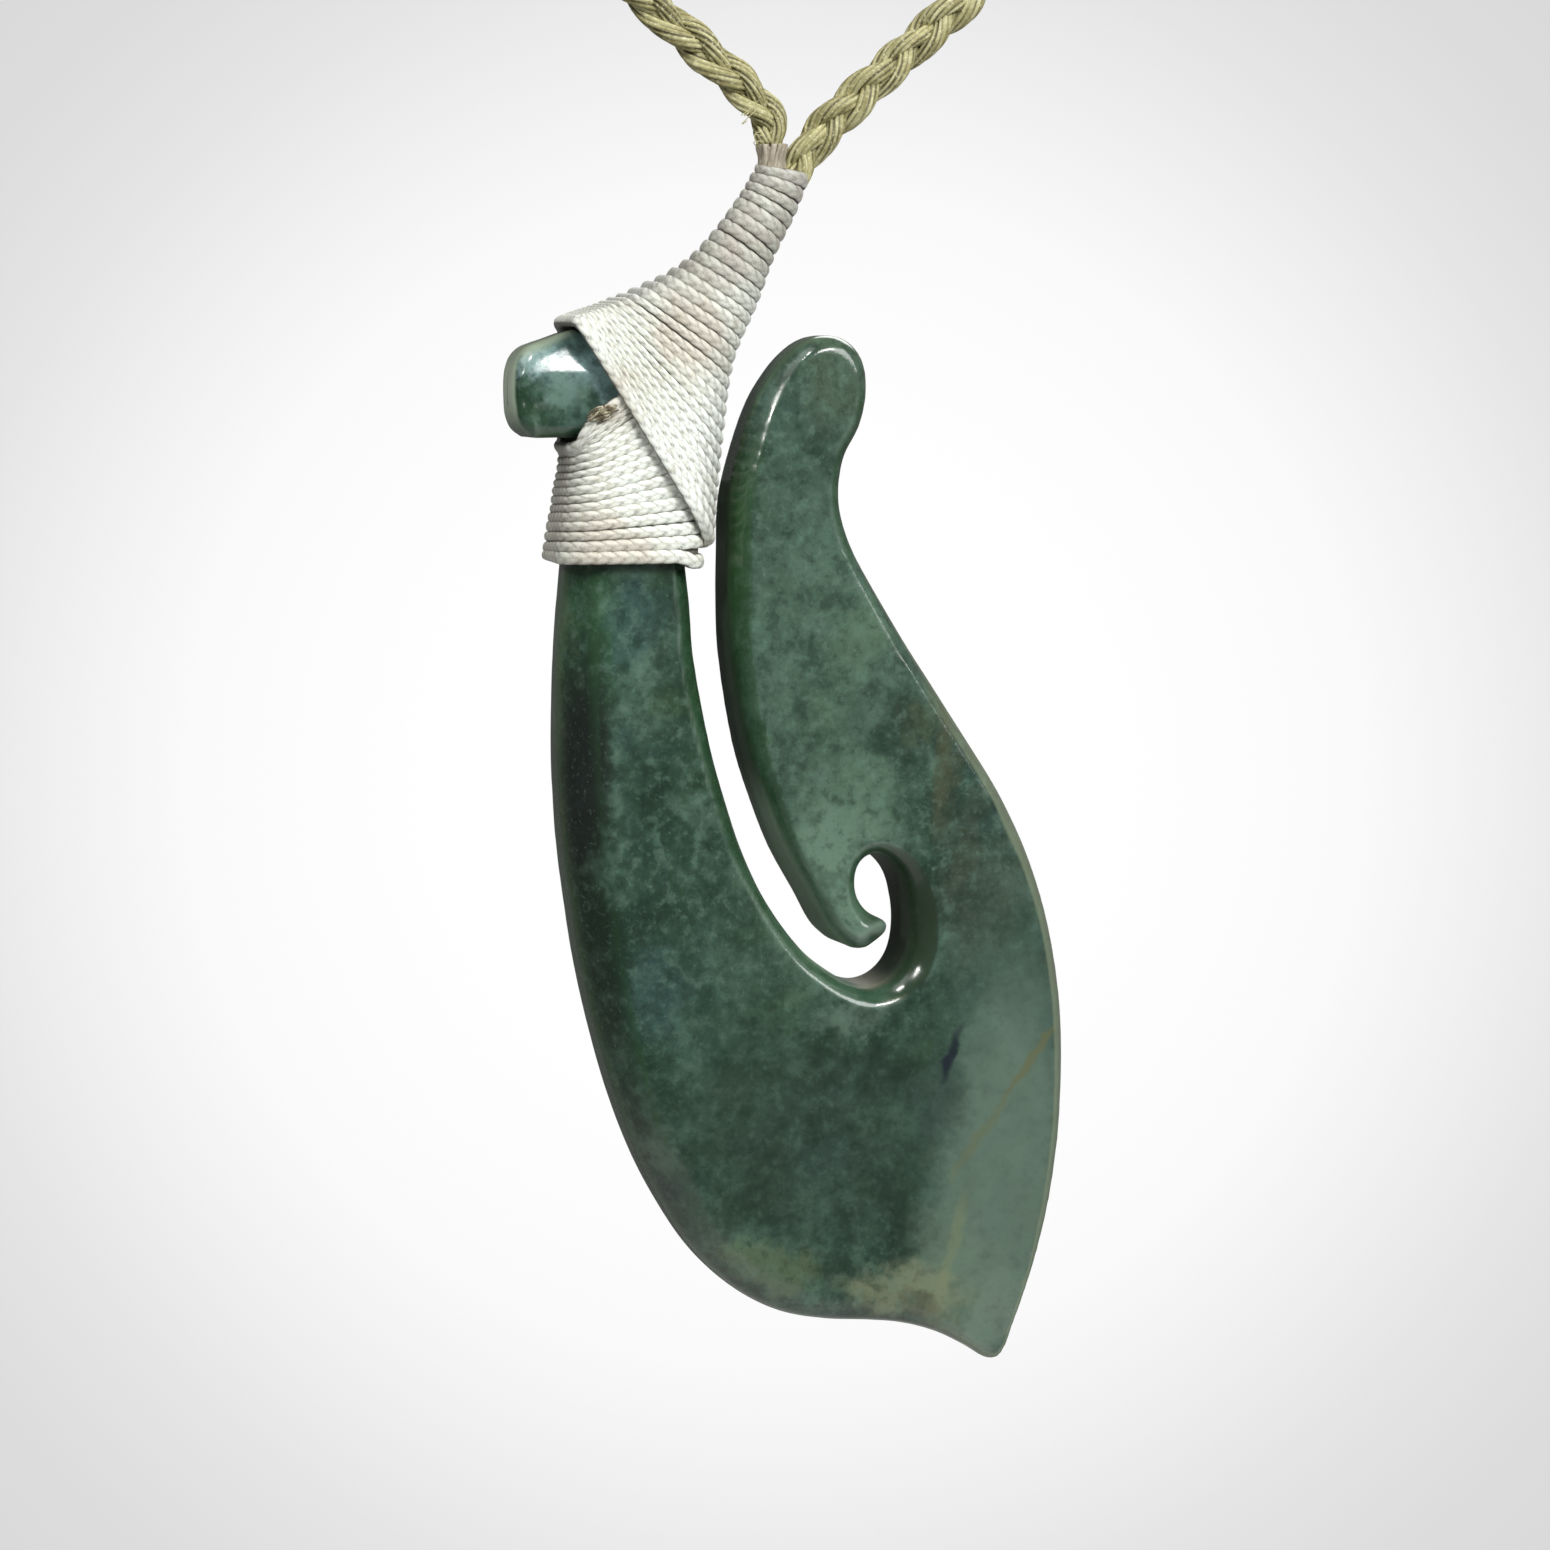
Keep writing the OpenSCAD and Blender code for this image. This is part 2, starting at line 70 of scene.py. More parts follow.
class Graph:
    """A node tree, with short calls for the nodes that the materials share."""

    def __init__(self, tree):
        self.tree = tree
        tree.nodes.clear()

    def feed(self, socket, value):
        if isinstance(value, bpy.types.NodeSocket):
            self.tree.links.new(value, socket)
        else:
            socket.default_value = value

    def add(self, kind, inputs=None, **settings):
        node = self.tree.nodes.new(kind)
        for name, value in settings.items():
            setattr(node, name, value)
        for name, value in (inputs or {}).items():
            self.feed(node.inputs[name], value)
        return node

    def math(self, operation, a, b=0.0, clamp=False):
        node = self.add("ShaderNodeMath", {0: a, 1: b}, operation=operation, use_clamp=clamp)
        return node.outputs[0]

    def times(self, a, b):
        return self.math("MULTIPLY", a, b)

    def stored(self, name):
        """A value that the mesh holds at each of its points."""
        return self.add("ShaderNodeAttribute", attribute_name=name).outputs["Fac"]

    def part(self, vector, axis):
        return self.add("ShaderNodeSeparateXYZ", {0: vector}).outputs[axis]

    def vector(self, operation, a, b=(0.0, 0.0, 0.0)):
        node = self.add("ShaderNodeVectorMath", {0: a, 1: b}, operation=operation)
        return node.outputs[0]

    def length(self, a):
        return self.add("ShaderNodeVectorMath", {0: a}, operation="LENGTH").outputs["Value"]

    def noise(self, place, scale, detail=2.0, rough=0.5, colour=False):
        inputs = {"Vector": place, "Scale": scale, "Detail": detail, "Roughness": rough}
        return self.add("ShaderNodeTexNoise", inputs).outputs[1 if colour else 0]

    def fade(self, value, low, high, start=0.0, end=1.0):
        """Runs smoothly from start to end while value goes from low to high."""
        inputs = {"Value": value, "From Min": low, "From Max": high, "To Min": start, "To Max": end}
        return self.add("ShaderNodeMapRange", inputs, interpolation_type="SMOOTHSTEP").outputs[0]

    def mix(self, share, a, b):
        node = self.add("ShaderNodeMix", data_type="RGBA", clamp_factor=True)
        self.feed(node.inputs[0], share)
        self.feed(node.inputs[6], a)
        self.feed(node.inputs[7], b)
        return node.outputs[2]

    def tint(self, colour, value, low, high, most, tone):
        """Mixes a tone in, from none of it where value is low to most where it is high."""
        return self.mix(self.fade(value, low, high, 0.0, most), colour, srgb(*tone))

    def ramp(self, value, stops):
        node = self.add("ShaderNodeValToRGB", {"Fac": value})
        elements = node.color_ramp.elements
        while len(elements) < len(stops):
            elements.new(0.5)
        for element, (place, colour) in zip(elements, stops):
            element.position = place
            element.color = colour
        return node.outputs["Color"]

    def bump(self, height, distance, strength, before=None):
        inputs = {"Height": height, "Distance": distance, "Strength": strength}
        if before is not None:
            inputs["Normal"] = before
        return self.add("ShaderNodeBump", inputs).outputs[0]


def new_material(name):
    material = bpy.data.materials.new(name)
    material.use_nodes = True
    graph = Graph(material.node_tree)
    shader = graph.add("ShaderNodeBsdfPrincipled")
    output = graph.add("ShaderNodeOutputMaterial")
    graph.feed(output.inputs["Surface"], shader.outputs[0])
    return material, graph, shader


def feed_fibres(graph, shader, colour, grain, rough, height, strength=0.6):
    """Feeds a colour, and a roughness and bumps that follow the grain. height is in mm."""
    graph.feed(shader.inputs["Base Color"], colour)
    graph.feed(shader.inputs["Roughness"], graph.fade(grain, 0.3, 0.7, *rough))
    graph.feed(shader.inputs["Normal"], graph.bump(grain, height * MM, strength))


def pendant_place(graph):
    """Millimetres from the point under the cord legs, the same in every view."""
    metres = graph.add("ShaderNodeTexCoord").outputs["Object"]
    millimetres = graph.vector("MULTIPLY", metres, (1 / MM,) * 3)
    return graph.vector("SUBTRACT", millimetres, tuple(APEX))


# Camera, floor and light


def way_from(azimuth, elevation):
    """The way from the pendant to a place round it, with both angles in degrees."""
    a, e = math.radians(azimuth), math.radians(elevation)
    return Vector((math.sin(a) * math.cos(e), -math.cos(a) * math.cos(e), math.sin(e)))


def place_camera():
    """A long lens a little to the left of the pendant and above it, and the way it looks."""
    target = Vector((-2.641, -146.0, -252.142)) * MM
    distance = 0.42
    away = way_from(-15, 5)
    data = bpy.data.cameras.new("camera")
    data.lens = 124.86
    data.sensor_width = 36.0
    data.clip_start = 0.01
    data.clip_end = 50.0
    camera = bpy.data.objects.new("camera", data)
    camera.location = target + away * distance
    camera.rotation_euler = (-away).to_track_quat("-Z", "Y").to_euler()
    bpy.context.scene.collection.objects.link(camera)
    bpy.context.scene.camera = camera
    return -away


# Backdrop brightness by the angle from its middle, in degrees, and that of the studio around
BACKDROP = [(3.5, 1.0), (6.2, 0.955), (7.4, 0.885), (9.0, 0.783), (10.4, 0.722), (11.6, 0.695)]
STUDIO = 0.12


def build_world(axis):
    """A pale backdrop, brightest behind the pendant, and an even, dimmer light around."""
    world = bpy.data.worlds.new("studio")
    bpy.context.scene.world = world
    world.use_nodes = True
    graph = Graph(world.node_tree)
    way = graph.add("ShaderNodeTexCoord").outputs["Generated"]
    along = graph.add("ShaderNodeVectorMath", {0: way, 1: tuple(axis)}, operation="DOT_PRODUCT")
    angle = graph.math("DEGREES", graph.math("ARCCOSINE", along.outputs["Value"]))
    widest = 15.0
    stops = [(place / widest, (value, value, value, 1.0)) for place, value in BACKDROP]
    grey = graph.ramp(graph.math("DIVIDE", angle, widest), stops)
    seen = graph.add("ShaderNodeLightPath").outputs["Is Camera Ray"]
    bluish = 1.02
    colour = graph.mix(seen, (STUDIO, STUDIO, STUDIO * bluish, 1.0), grey)
    background = graph.add("ShaderNodeBackground", {"Color": colour})
    output = graph.add("ShaderNodeOutputWorld")
    graph.feed(output.inputs["Surface"], background.outputs[0])


WHITE, WARM = (1.0, 1.0, 1.0), (1.0, 0.99, 0.97)

# Each lamp's name, azimuth and elevation in degrees, distance, width and height in metres, power
# in watts, and colour
LAMPS = [
    ("key_front_right", 34, 30, 1.3, 0.70, 0.70, 10.8, WHITE),
    ("window_front", 12, 37, 1.2, 0.30, 0.28, 6.4, WHITE),
    ("strip_upper_left", -36, 57, 0.9, 0.07, 0.14, 1.5, WARM),
    ("strip_left", -52, 30, 0.9, 0.07, 0.13, 1.8, WARM),
    ("fill_left", -70, 58, 1.4, 0.80, 0.80, 3.4, WHITE),
    ("rim_behind", 150, 35, 1.5, 0.90, 0.60, 7.0, WHITE),
]


def build_lights():
    """Soft rectangular lamps that face the middle of the pendant."""
    middle = Vector(APEX + [0.0, 0.0, -48.0]) * MM
    for name, azimuth, elevation, distance, width, height, power, colour in LAMPS:
        away = way_from(azimuth, elevation)
        data = bpy.data.lights.new(name, "AREA")
        data.shape = "RECTANGLE"
        data.size, data.size_y = width, height
        data.energy = power
        data.color = colour
        lamp = bpy.data.objects.new(name, data)
        lamp.location = middle + away * distance
        lamp.rotation_euler = (-away).to_track_quat("-Z", "Y").to_euler()
        lamp.visible_camera = False
        bpy.context.scene.collection.objects.link(lamp)


def build_floor():
    """A pale round floor far under the hanging pendant, fading out at its edge."""
    radius, below, sides = 2.1, -1.0, 96
    mesh = bpy.data.meshes.new("floor")
    shape = bmesh.new()
    bmesh.ops.create_circle(shape, cap_ends=True, radius=radius, segments=sides)
    shape.to_mesh(mesh)
    shape.free()
    floor = bpy.data.objects.new("floor", mesh)
    floor.location = (0.0, APEX[1] * MM, below)
    bpy.context.scene.collection.objects.link(floor)
    material, graph, shader = new_material("floor_paper")
    place = graph.add("ShaderNodeTexCoord").outputs["Object"]
    grain = graph.noise(place, 900.0)
    tone = graph.ramp(grain, [(0.3, srgb(232, 232, 230)), (0.7, srgb(240, 240, 239))])
    graph.feed(shader.inputs["Base Color"], tone)
    shader.inputs["Roughness"].default_value = 0.9
    graph.feed(shader.inputs["Normal"], graph.bump(grain, 0.2 * MM, 0.3))
    edge = graph.fade(graph.length(place), radius * 0.45, radius * 0.98, 1.0, 0.0)
    graph.feed(shader.inputs["Alpha"], edge)
    mesh.materials.append(material)


# Meshes


def add_piece(name, mesh, material):
    """A new piece of the pendant, which rides on the one body there is."""
    piece = bpy.data.objects.new(name, mesh)
    bpy.context.scene.collection.objects.link(piece)
    mesh.materials.append(material)
    mesh.shade_smooth()
    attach(piece, "root")
    return piece


def tube_faces(rings, sides, closed):
    """Quads between rings of points, with flat ends where the tube isn't closed."""
    ring = np.arange(rings if closed else rings - 1)[:, None] * sides
    side = np.arange(sides)[None, :]
    after = (side + 1) % sides
    above = (ring + sides) % (rings * sides)
    quads = np.stack([ring + side, ring + after, above + after, above + side], -1).reshape(-1, 4)
    faces = quads.tolist()
    if not closed:
        faces.append(list(range(sides - 1, -1, -1)))
        faces.append(list(range((rings - 1) * sides, rings * sides)))
    return faces


def unit(v):
    return v / np.maximum(np.linalg.norm(v, axis=-1, keepdims=True), 1e-12)


def distances(path):
    """How far along a path each of its points is."""
    return np.concatenate([[0], np.cumsum(np.linalg.norm(np.diff(path, axis=0), axis=1))])


class Bundle:
    """Collects tubes that belong to one mesh, with the values their material reads."""

    def __init__(self):
        self.points = []
        self.faces = []
        self.values = {"along": [], "relief": [], "rise": [], "tint": []}
        self.count = 0

    def add(self, path, out, half_side, half_out, relief=None, tint=0.5, turns=None):
        """A tube along path. out is the way across it that half_out is measured along."""
        ways = unit(np.gradient(path, axis=0))
        out = unit(out - (out * ways).sum(1, keepdims=True) * ways)
        side = np.cross(ways, out)
        angles = np.linspace(0, 2 * np.pi, 8, endpoint=False) if turns is None else turns
        rings, sides = len(path), angles.shape[-1]
        swell = 1 + relief if relief is not None else np.ones((rings, sides))
        half_side = np.broadcast_to(half_side, rings)
        half_out = np.broadcast_to(half_out, rings)
        across = side[:, None, :] * (half_side[:, None] * np.sin(angles) * swell)[..., None]
        outward = out[:, None, :] * (half_out[:, None] * np.cos(angles) * swell)[..., None]
        points = path[:, None, :] + across + outward
        self.points.append(points.reshape(-1, 3))
        self.faces += [[i + self.count for i in f] for f in tube_faces(rings, sides, False)]
        self.count += rings * sides
        self.values["along"].append(np.repeat(distances(path), sides))
        # The materials read relief and rise to paint shade in creases and on a tube's sides
        self.values["relief"].append((swell - 1).reshape(-1))
        self.values["rise"].append(np.broadcast_to(np.cos(angles), (rings, sides)).reshape(-1))
        self.values["tint"].append(np.broadcast_to(tint, (rings, sides)).reshape(-1))

    def mesh(self, name):
        mesh = bpy.data.meshes.new(name)
        points = (np.concatenate(self.points) + APEX) * MM
        mesh.from_pydata(points.tolist(), [], self.faces)
        for key, parts in self.values.items():
            layer = mesh.attributes.new(key, "FLOAT", "POINT")
            layer.data.foreach_set("value", np.concatenate(parts).astype(np.float32))
        mesh.update()
        return mesh


# The stone

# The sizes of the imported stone, in mm: height, thickness, the head's share of the thickness,
# where it is full, the edge's radius and its shares, and the height of the stone's top
HOOK_H, HOOK_T = 82.0, 8.5
HEAD_THIN, BEND_AT = 0.62, 0.68
EDGE_R, BOUND_SOFT, SLOT_SOFT, WHIP_HUG = 1.6, 1.5, 0.9, 0.75
HEAD_Z = -12.0


def half_t(z):
    share = min(1.0, max(0.0, (HEAD_Z - z) / HOOK_H))
    return HOOK_T / 2 * (HEAD_THIN + (1 - HEAD_THIN) * math.sin(math.pi / 2 * share / BEND_AT))


def stone_mesh():
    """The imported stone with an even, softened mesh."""
    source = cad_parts["hook"]
    mesh = source.data.copy()
    mesh.materials.clear()
    shape = bmesh.new()
    shape.from_mesh(mesh)
    bmesh.ops.remove_doubles(shape, verts=shape.verts, dist=1e-7)
    shape.to_mesh(mesh)
    shape.free()
    helper = bpy.data.objects.new("stone_helper", mesh)
    bpy.context.scene.collection.objects.link(helper)
    even = helper.modifiers.new("even", "REMESH")
    even.mode = "VOXEL"
    even.voxel_size = 0.30 * MM
    soften = helper.modifiers.new("soften", "SMOOTH")
    soften.factor = 0.5
    soften.iterations = 4
    view = helper.evaluated_get(bpy.context.evaluated_depsgraph_get())
    result = bpy.data.meshes.new_from_object(view)
    bpy.data.objects.remove(helper)
    bpy.data.meshes.remove(mesh)
    return result


# The middle of the hook's slot, across and up in mm, from which the outline is all in view
SLOT_X, SLOT_Z = 0.0, -52.0


def smooth_step(value, low, high):
    share = np.clip((value - low) / (high - low), 0, 1)
    return share * share * (3 - 2 * share)


def rim_shares(places):
    """1 at the outline's outer side and 0 inside it, and the direction from the slot."""
    across, up = places[:, 0] - SLOT_X, places[:, 2] - SLOT_Z
    reach, angle = np.hypot(across, up), np.degrees(np.arctan2(up, across)) % 360
    # Width of a slice in degrees, and how far inside the outline the rim starts and is full
    step, starts, full = 2.0, 3.4, 2.0
    slice_of = (angle / step).astype(int)
    outermost = np.zeros(int(360 / step))
    np.maximum.at(outermost, slice_of, reach)
    middles = (np.arange(len(outermost)) + 0.5) * step
    edge = np.interp(angle, middles, outermost, period=360)
    return smooth_step(reach, edge - starts, edge - full), angle


def neighbour_middle(edges, places):
    """The middle of the neighbours of each point."""
    ends = np.concatenate([edges[:, 0], edges[:, 1]])
    others = np.concatenate([edges[:, 1], edges[:, 0]])
    count = np.bincount(ends, minlength=len(places))
    sums = [np.bincount(ends, places[others, i], len(places)) for i in range(3)]
    return np.stack(sums, 1) / count[:, None]


# How the front edge is worked at places round the outline: place across and up in mm, width
# and depth of the bevel in mm, and 1 for a flat bevel with an arris or 2 for a rounded one
EDGE_WORK = np.array([
    # Outer side of the shank and the lower edge of the leaf
    [-19.5, -28.0, 2.8, 2.0, 2.0],
    [-20.0, -40.0, 3.4, 2.8, 2.0],
    [-19.5, -52.0, 3.4, 2.8, 2.0],
    [-17.0, -64.0, 3.4, 2.8, 2.0],
    [-11.0, -76.0, 3.0, 2.2, 2.0],
    [-2.0, -86.0, 2.2, 1.2, 2.0],
    [8.0, -91.0, 1.4, 0.6, 2.0],
    [16.0, -94.0, 1.0, 0.4, 2.0],
    # Right side of the leaf and of the barb
    [21.0, -75.0, 1.4, 0.6, 1.6],
    [19.0, -60.0, 1.4, 0.6, 1.6],
    [13.0, -42.0, 1.2, 0.6, 1.6],
    [8.0, -28.0, 1.0, 0.5, 1.6],
    [8.0, -17.0, 1.1, 0.5, 1.6],
    [3.0, -12.5, 0.9, 0.4, 1.4],
    # Left side of the barb, down to the spur
    [-2.0, -17.0, 1.6, 1.1, 1.1],
    [-5.0, -25.0, 1.5, 1.1, 1.1],
    [-6.0, -35.0, 1.3, 1.0, 1.1],
    [-4.0, -48.0, 1.0, 0.7, 1.1],
    [1.0, -58.0, 0.6, 0.3, 1.0],
    [4.5, -61.0, 0.5, 0.2, 1.0],
    # Round the eye and the hollow
    [5.5, -56.0, 0.5, 0.2, 1.0],
    [7.5, -52.8, 0.9, 0.6, 1.4],
    [10.0, -57.0, 2.7, 1.9, 1.2],
    [9.5, -63.0, 2.5, 1.6, 1.2],
    [5.0, -66.0, 1.3, 1.2, 1.0],
    # The shank's side of the slot
    [-1.0, -62.5, 1.5, 1.1, 1.0],
    [-7.0, -50.0, 1.5, 0.8, 1.0],
    [-10.0, -35.0, 1.4, 0.8, 1.0],
    # The knob
    [-17.0, -12.5, 0.8, 0.3, 1.4],
    [-22.5, -17.0, 0.8, 0.3, 1.0],
    [-19.0, -20.8, 0.8, 0.3, 1.0],
])


def work_edges(places, ways):
    """Bevels or rounds the front edge as its nearest place in the table says."""
    steep = 0.35
    walls = np.flatnonzero(np.abs(ways[:, 1]) < steep)
    tree = KDTree(len(walls))
    for i in walls:
        tree.insert((places[i, 0], 0.0, places[i, 2]), int(i))
    tree.balance()
    nearest = np.array([tree.find((x, 0.0, z))[1:] for x, _, z in places])
    gap, wall = nearest[:, 1], places[nearest[:, 0].astype(int)]
    apart = ((wall[:, None, [0, 2]] - EDGE_WORK[None, :, :2]) ** 2).sum(2)
    # How far a place in the table is felt, in mm
    reach = 3.5
    pull = np.exp(-apart / (2 * reach**2)) + 1e-9
    width, depth, power = (pull @ EDGE_WORK[:, 2:] / pull.sum(1, keepdims=True)).T
    thick = np.array([half_t(z) for z in places[:, 2]])
    share = depth * np.clip(1 - gap / width, 0, 1) ** power / thick
    # The back is worked less, and no edge is worked away
    behind, most = 0.2, 0.8
    share = np.where(places[:, 1] < 0, share, share * behind)
    worked = places.copy()
    worked[:, 1] *= 1 - np.minimum(share, most)
    return worked


# The knob: the height at which the facet at its top starts, the facet's lean and curl, the
# middle of the front's barrel and its curl, in mm, and the most that anything is set back
FACET_FOOT, FACET_LEAN, FACET_CURL = -15.9, 0.31, 0.016
BARREL_X, BARREL_CURL, MOST_BACK = -16.8, 0.016, 1.45


def shape_knob(places):
    """Barrels the knob's front and leans a facet back at its top, and less so behind."""
    on_knob = smooth_step(places[:, 0], -12.0, -13.0) * smooth_step(places[:, 2], -19.0, -17.5)
    above = np.maximum(places[:, 2] - FACET_FOOT, 0)
    soft = 0.35
    back = FACET_LEAN * above**2 / (above + soft) + FACET_CURL * above**2
    back = np.minimum(back + BARREL_CURL * (places[:, 0] - BARREL_X) ** 2, MOST_BACK)
    behind = 0.4
    back = np.where(places[:, 1] < 0, back, behind * back)
    places[:, 1] -= np.sign(places[:, 1]) * back * on_knob


def polish_stone(mesh):
    """Works the edges and the knob, and leaves slight hand-made waves."""
    count = len(mesh.vertices)
    places, ways = np.zeros(count * 3), np.zeros(count * 3)
    edges = np.zeros(len(mesh.edges) * 2, dtype=np.int32)
    mesh.vertices.foreach_get("co", places)
    mesh.vertex_normals.foreach_get("vector", ways)
    mesh.edges.foreach_get("vertices", edges)
    places, edges = places.reshape(-1, 3) / MM - APEX, edges.reshape(-1, 2)
    places = work_edges(places, ways.reshape(-1, 3))

    # The outer edge is softest from the shank's top down to the tail, seen from the slot
    rim, angle = rim_shares(places)
    soft_side = smooth_step(angle, 118, 126) * smooth_step(angle, 292, 280)
    passes, pull = 30, 0.5
    for _ in range(passes):
        shift = neighbour_middle(edges, places) - places
        places = places + shift * (pull * rim * soft_side)[:, None]
    shape_knob(places)

    mesh.vertices.foreach_set("co", ((places + APEX) * MM).ravel())
    mesh.update()
    mesh.vertex_normals.foreach_get("vector", ways)
    ways = ways.reshape(-1, 3)
    wave, length = 0.040, 6.0
    swing = np.array([noise.noise(Vector(p)) for p in places / length])
    places = places + ways * (swing * wave)[:, None]

    # How far each point stands out from its neighbours, smoothed, as a share of a sharp edge's
    sharp = 0.04
    bulge = ((places - neighbour_middle(edges, places)) * ways).sum(1)[:, None].repeat(3, 1)
    for _ in range(3):
        bulge = (bulge + neighbour_middle(edges, bulge)) / 2
    # The material paints shade and light on the walls by rim, and a highlight on the arrises by
    # bulge
    for key, values in (("rim", rim), ("bulge", bulge[:, 0] / sharp)):
        layer = mesh.attributes.new(key, "FLOAT", "POINT")
        layer.data.foreach_set("value", values.astype(np.float32))
    mesh.vertices.foreach_set("co", ((places + APEX) * MM).ravel())
    mesh.update()


# Colour patches of the stone: place of the middle across and up in mm, half width and half
# height in mm, turn in degrees, colour, and strength
STONE_PATCHES = [
    # Broad fields: the lighter barb and spur, the darker lower leaf
    (3.0, -36.0, 6.5, 22.0, 4, (80, 104, 86), 0.50),
    (3.2, -56.0, 4.4, 7.0, 10, (106, 134, 114), 0.70),
    (1.0, -75.5, 9.0, 8.0, 30, (44, 58, 48), 0.60),
    (16.6, -61.0, 5.0, 9.0, 10, (70, 88, 76), 0.45),
    # The dark green band down the outer side of the shank
    (-16.8, -36.0, 2.8, 7.0, 0, (46, 82, 50), 0.70),
    (-16.9, -46.5, 2.4, 10.0, 2, (34, 50, 38), 0.80),
    (-15.9, -59.0, 2.2, 8.5, -6, (26, 46, 32), 0.92),
    (-13.4, -68.0, 2.4, 6.0, -20, (30, 52, 36), 0.80),
    # The two narrow pale strips are painted reflection along the shank's rounded outer edge
    (-18.8, -38.0, 0.9, 10.0, 2, (84, 102, 76), 0.50),
    (-17.6, -64.0, 0.9, 9.0, -14, (86, 104, 78), 0.50),
    (-8.2, -74.5, 3.2, 4.0, -20, (40, 58, 46), 0.60),
    (-3.0, -72.0, 3.2, 3.4, 10, (42, 60, 48), 0.50),
    (-6.8, -82.0, 3.6, 2.2, -30, (46, 64, 50), 0.50),
    (-8.6, -47.0, 1.2, 12.0, 4, (36, 62, 40), 0.50),
    # Bluer places on the shank
    (-12.6, -34.2, 2.3, 4.4, 8, (48, 76, 76), 0.50),
    (-11.6, -63.6, 2.4, 3.6, -10, (52, 80, 80), 0.40),
    (-6.4, -64.0, 3.8, 6.0, 12, (54, 80, 74), 0.30),
    # Dark and bright places on the barb
    (-4.6, -35.0, 1.5, 13.0, 2, (36, 66, 36), 0.80),
    (-3.4, -48.0, 1.4, 5.5, -14, (40, 74, 42), 0.55),
    (3.8, -22.0, 2.2, 4.2, 8, (46, 62, 52), 0.60),
    (7.2, -43.4, 2.8, 3.6, -20, (52, 70, 60), 0.45),
    (5.2, -36.2, 2.2, 3.4, 10, (92, 120, 96), 0.35),
    (5.4, -47.8, 2.6, 3.4, -6, (92, 120, 100), 0.35),
    (4.6, -15.6, 3.6, 4.6, 30, (84, 98, 74), 0.35),
    # Brown and olive streaks right of the barb
    (11.0, -40.8, 1.3, 4.2, 30, (78, 88, 64), 0.45),
    (11.9, -47.0, 1.0, 5.2, 4, (74, 80, 62), 0.45),
    (13.6, -52.5, 1.5, 5.0, 16, (66, 74, 58), 0.50),
    (15.2, -57.0, 2.6, 4.6, 20, (60, 70, 58), 0.50),
    # The even, milky field on the leaf
    (17.4, -78.0, 5.4, 13.0, 4, (100, 120, 105), 0.75),
    (13.6, -88.0, 3.4, 6.0, -18, (106, 124, 106), 0.45),
    (16.4, -91.0, 2.4, 5.0, 16, (112, 130, 114), 0.55),
    (11.6, -72.6, 2.4, 3.6, 16, (54, 70, 66), 0.50),
    # The bevel of the hollow, and its pale foot
    (5.0, -66.0, 3.0, 1.0, -8, (106, 124, 108), 0.40),
    # Cream and tan cloud along the lower edge
    (9.4, -88.0, 4.4, 1.9, 6, (126, 132, 104), 0.60),
    (10.6, -89.6, 1.2, 1.2, 0, (82, 78, 62), 0.50),
    (-1.6, -85.6, 4.6, 1.8, 12, (98, 112, 80), 0.45),
    (-10.9, -75.8, 1.6, 2.2, -20, (92, 114, 96), 0.45),
    # The knob: dark green below, bluer and paler above, with painted light in two places
    (-20.8, -18.4, 2.6, 2.2, 0, (38, 68, 40), 0.60),
    (-17.4, -14.8, 3.6, 2.6, 0, (112, 140, 140), 0.50),
    # Bluer here, and painted light over the shadow that the neck binding casts
    (-13.6, -15.7, 2.8, 2.2, 0, (156, 192, 192), 0.85),
    # A painted highlight at the knob's upper left
    (-20.4, -14.6, 1.5, 1.1, 0, (168, 196, 194), 0.55),
    (-18.2, -17.4, 1.6, 1.2, 30, (126, 156, 146), 0.40),
]

# Thin streaks with cleaner edges, in the same form
STREAKS = [
    (-16.7, -46.4, 1.75, 7.6, 2, (24, 30, 27), 0.92),
    (-14.9, -61.0, 1.3, 6.0, -8, (24, 40, 28), 0.60),
    # Painted reflection along the shank's rounded outer edge
    (-19.5, -44.0, 0.70, 15.0, 2, (122, 134, 114), 0.80),
    (-17.8, -62.0, 0.7, 9.0, -12, (112, 124, 100), 0.70),
    (12.6, -69.2, 0.46, 2.3, 17, (26, 32, 42), 0.90),
    (19.2, -69.6, 0.32, 3.6, 36, (98, 98, 62), 0.60),
    (15.2, -75.6, 0.34, 4.2, 34, (98, 104, 68), 0.40),
    (13.2, -84.6, 0.50, 4.2, 14, (118, 128, 92), 0.35),
    (11.8, -46.0, 0.60, 5.2, 6, (72, 74, 52), 0.45),
]

# Tints that only the side walls take, in the same form
WALL_PATCHES = [
    (7.0, -64.6, 2.8, 1.5, -14, (116, 106, 84), 0.60),
    # Painted shade on the barb's wall inside the slot
    (-4.6, -40.0, 3.4, 22.0, 4, (32, 56, 32), 0.60),
    # Painted light on the knob's left wall
    (-23.4, -16.6, 2.2, 4.6, 0, (196, 212, 188), 0.90),
    # Painted light on the walls at the foot of the slot, which face away from the lamps
    (-0.6, -53.5, 2.6, 6.4, -32, (120, 142, 120), 0.85),
    (3.6, -60.5, 3.2, 2.2, -20, (120, 142, 120), 0.80),
]

# Tints that bevels take too, in the same form
BEVEL_PATCHES = [
    # Painted shade on the hollow's bevel
    (9.6, -58.0, 3.4, 6.6, 0, (40, 54, 38), 0.85),
    (7.6, -65.6, 2.0, 0.8, -20, (132, 128, 106), 0.60),
    (-6.0, -30.0, 2.0, 9.0, 6, (46, 80, 40), 0.45),
    # Painted light on the knob's top-left chamfer
    (-19.3, -13.0, 0.7, 4.6, 65, (150, 162, 138), 0.70),
]


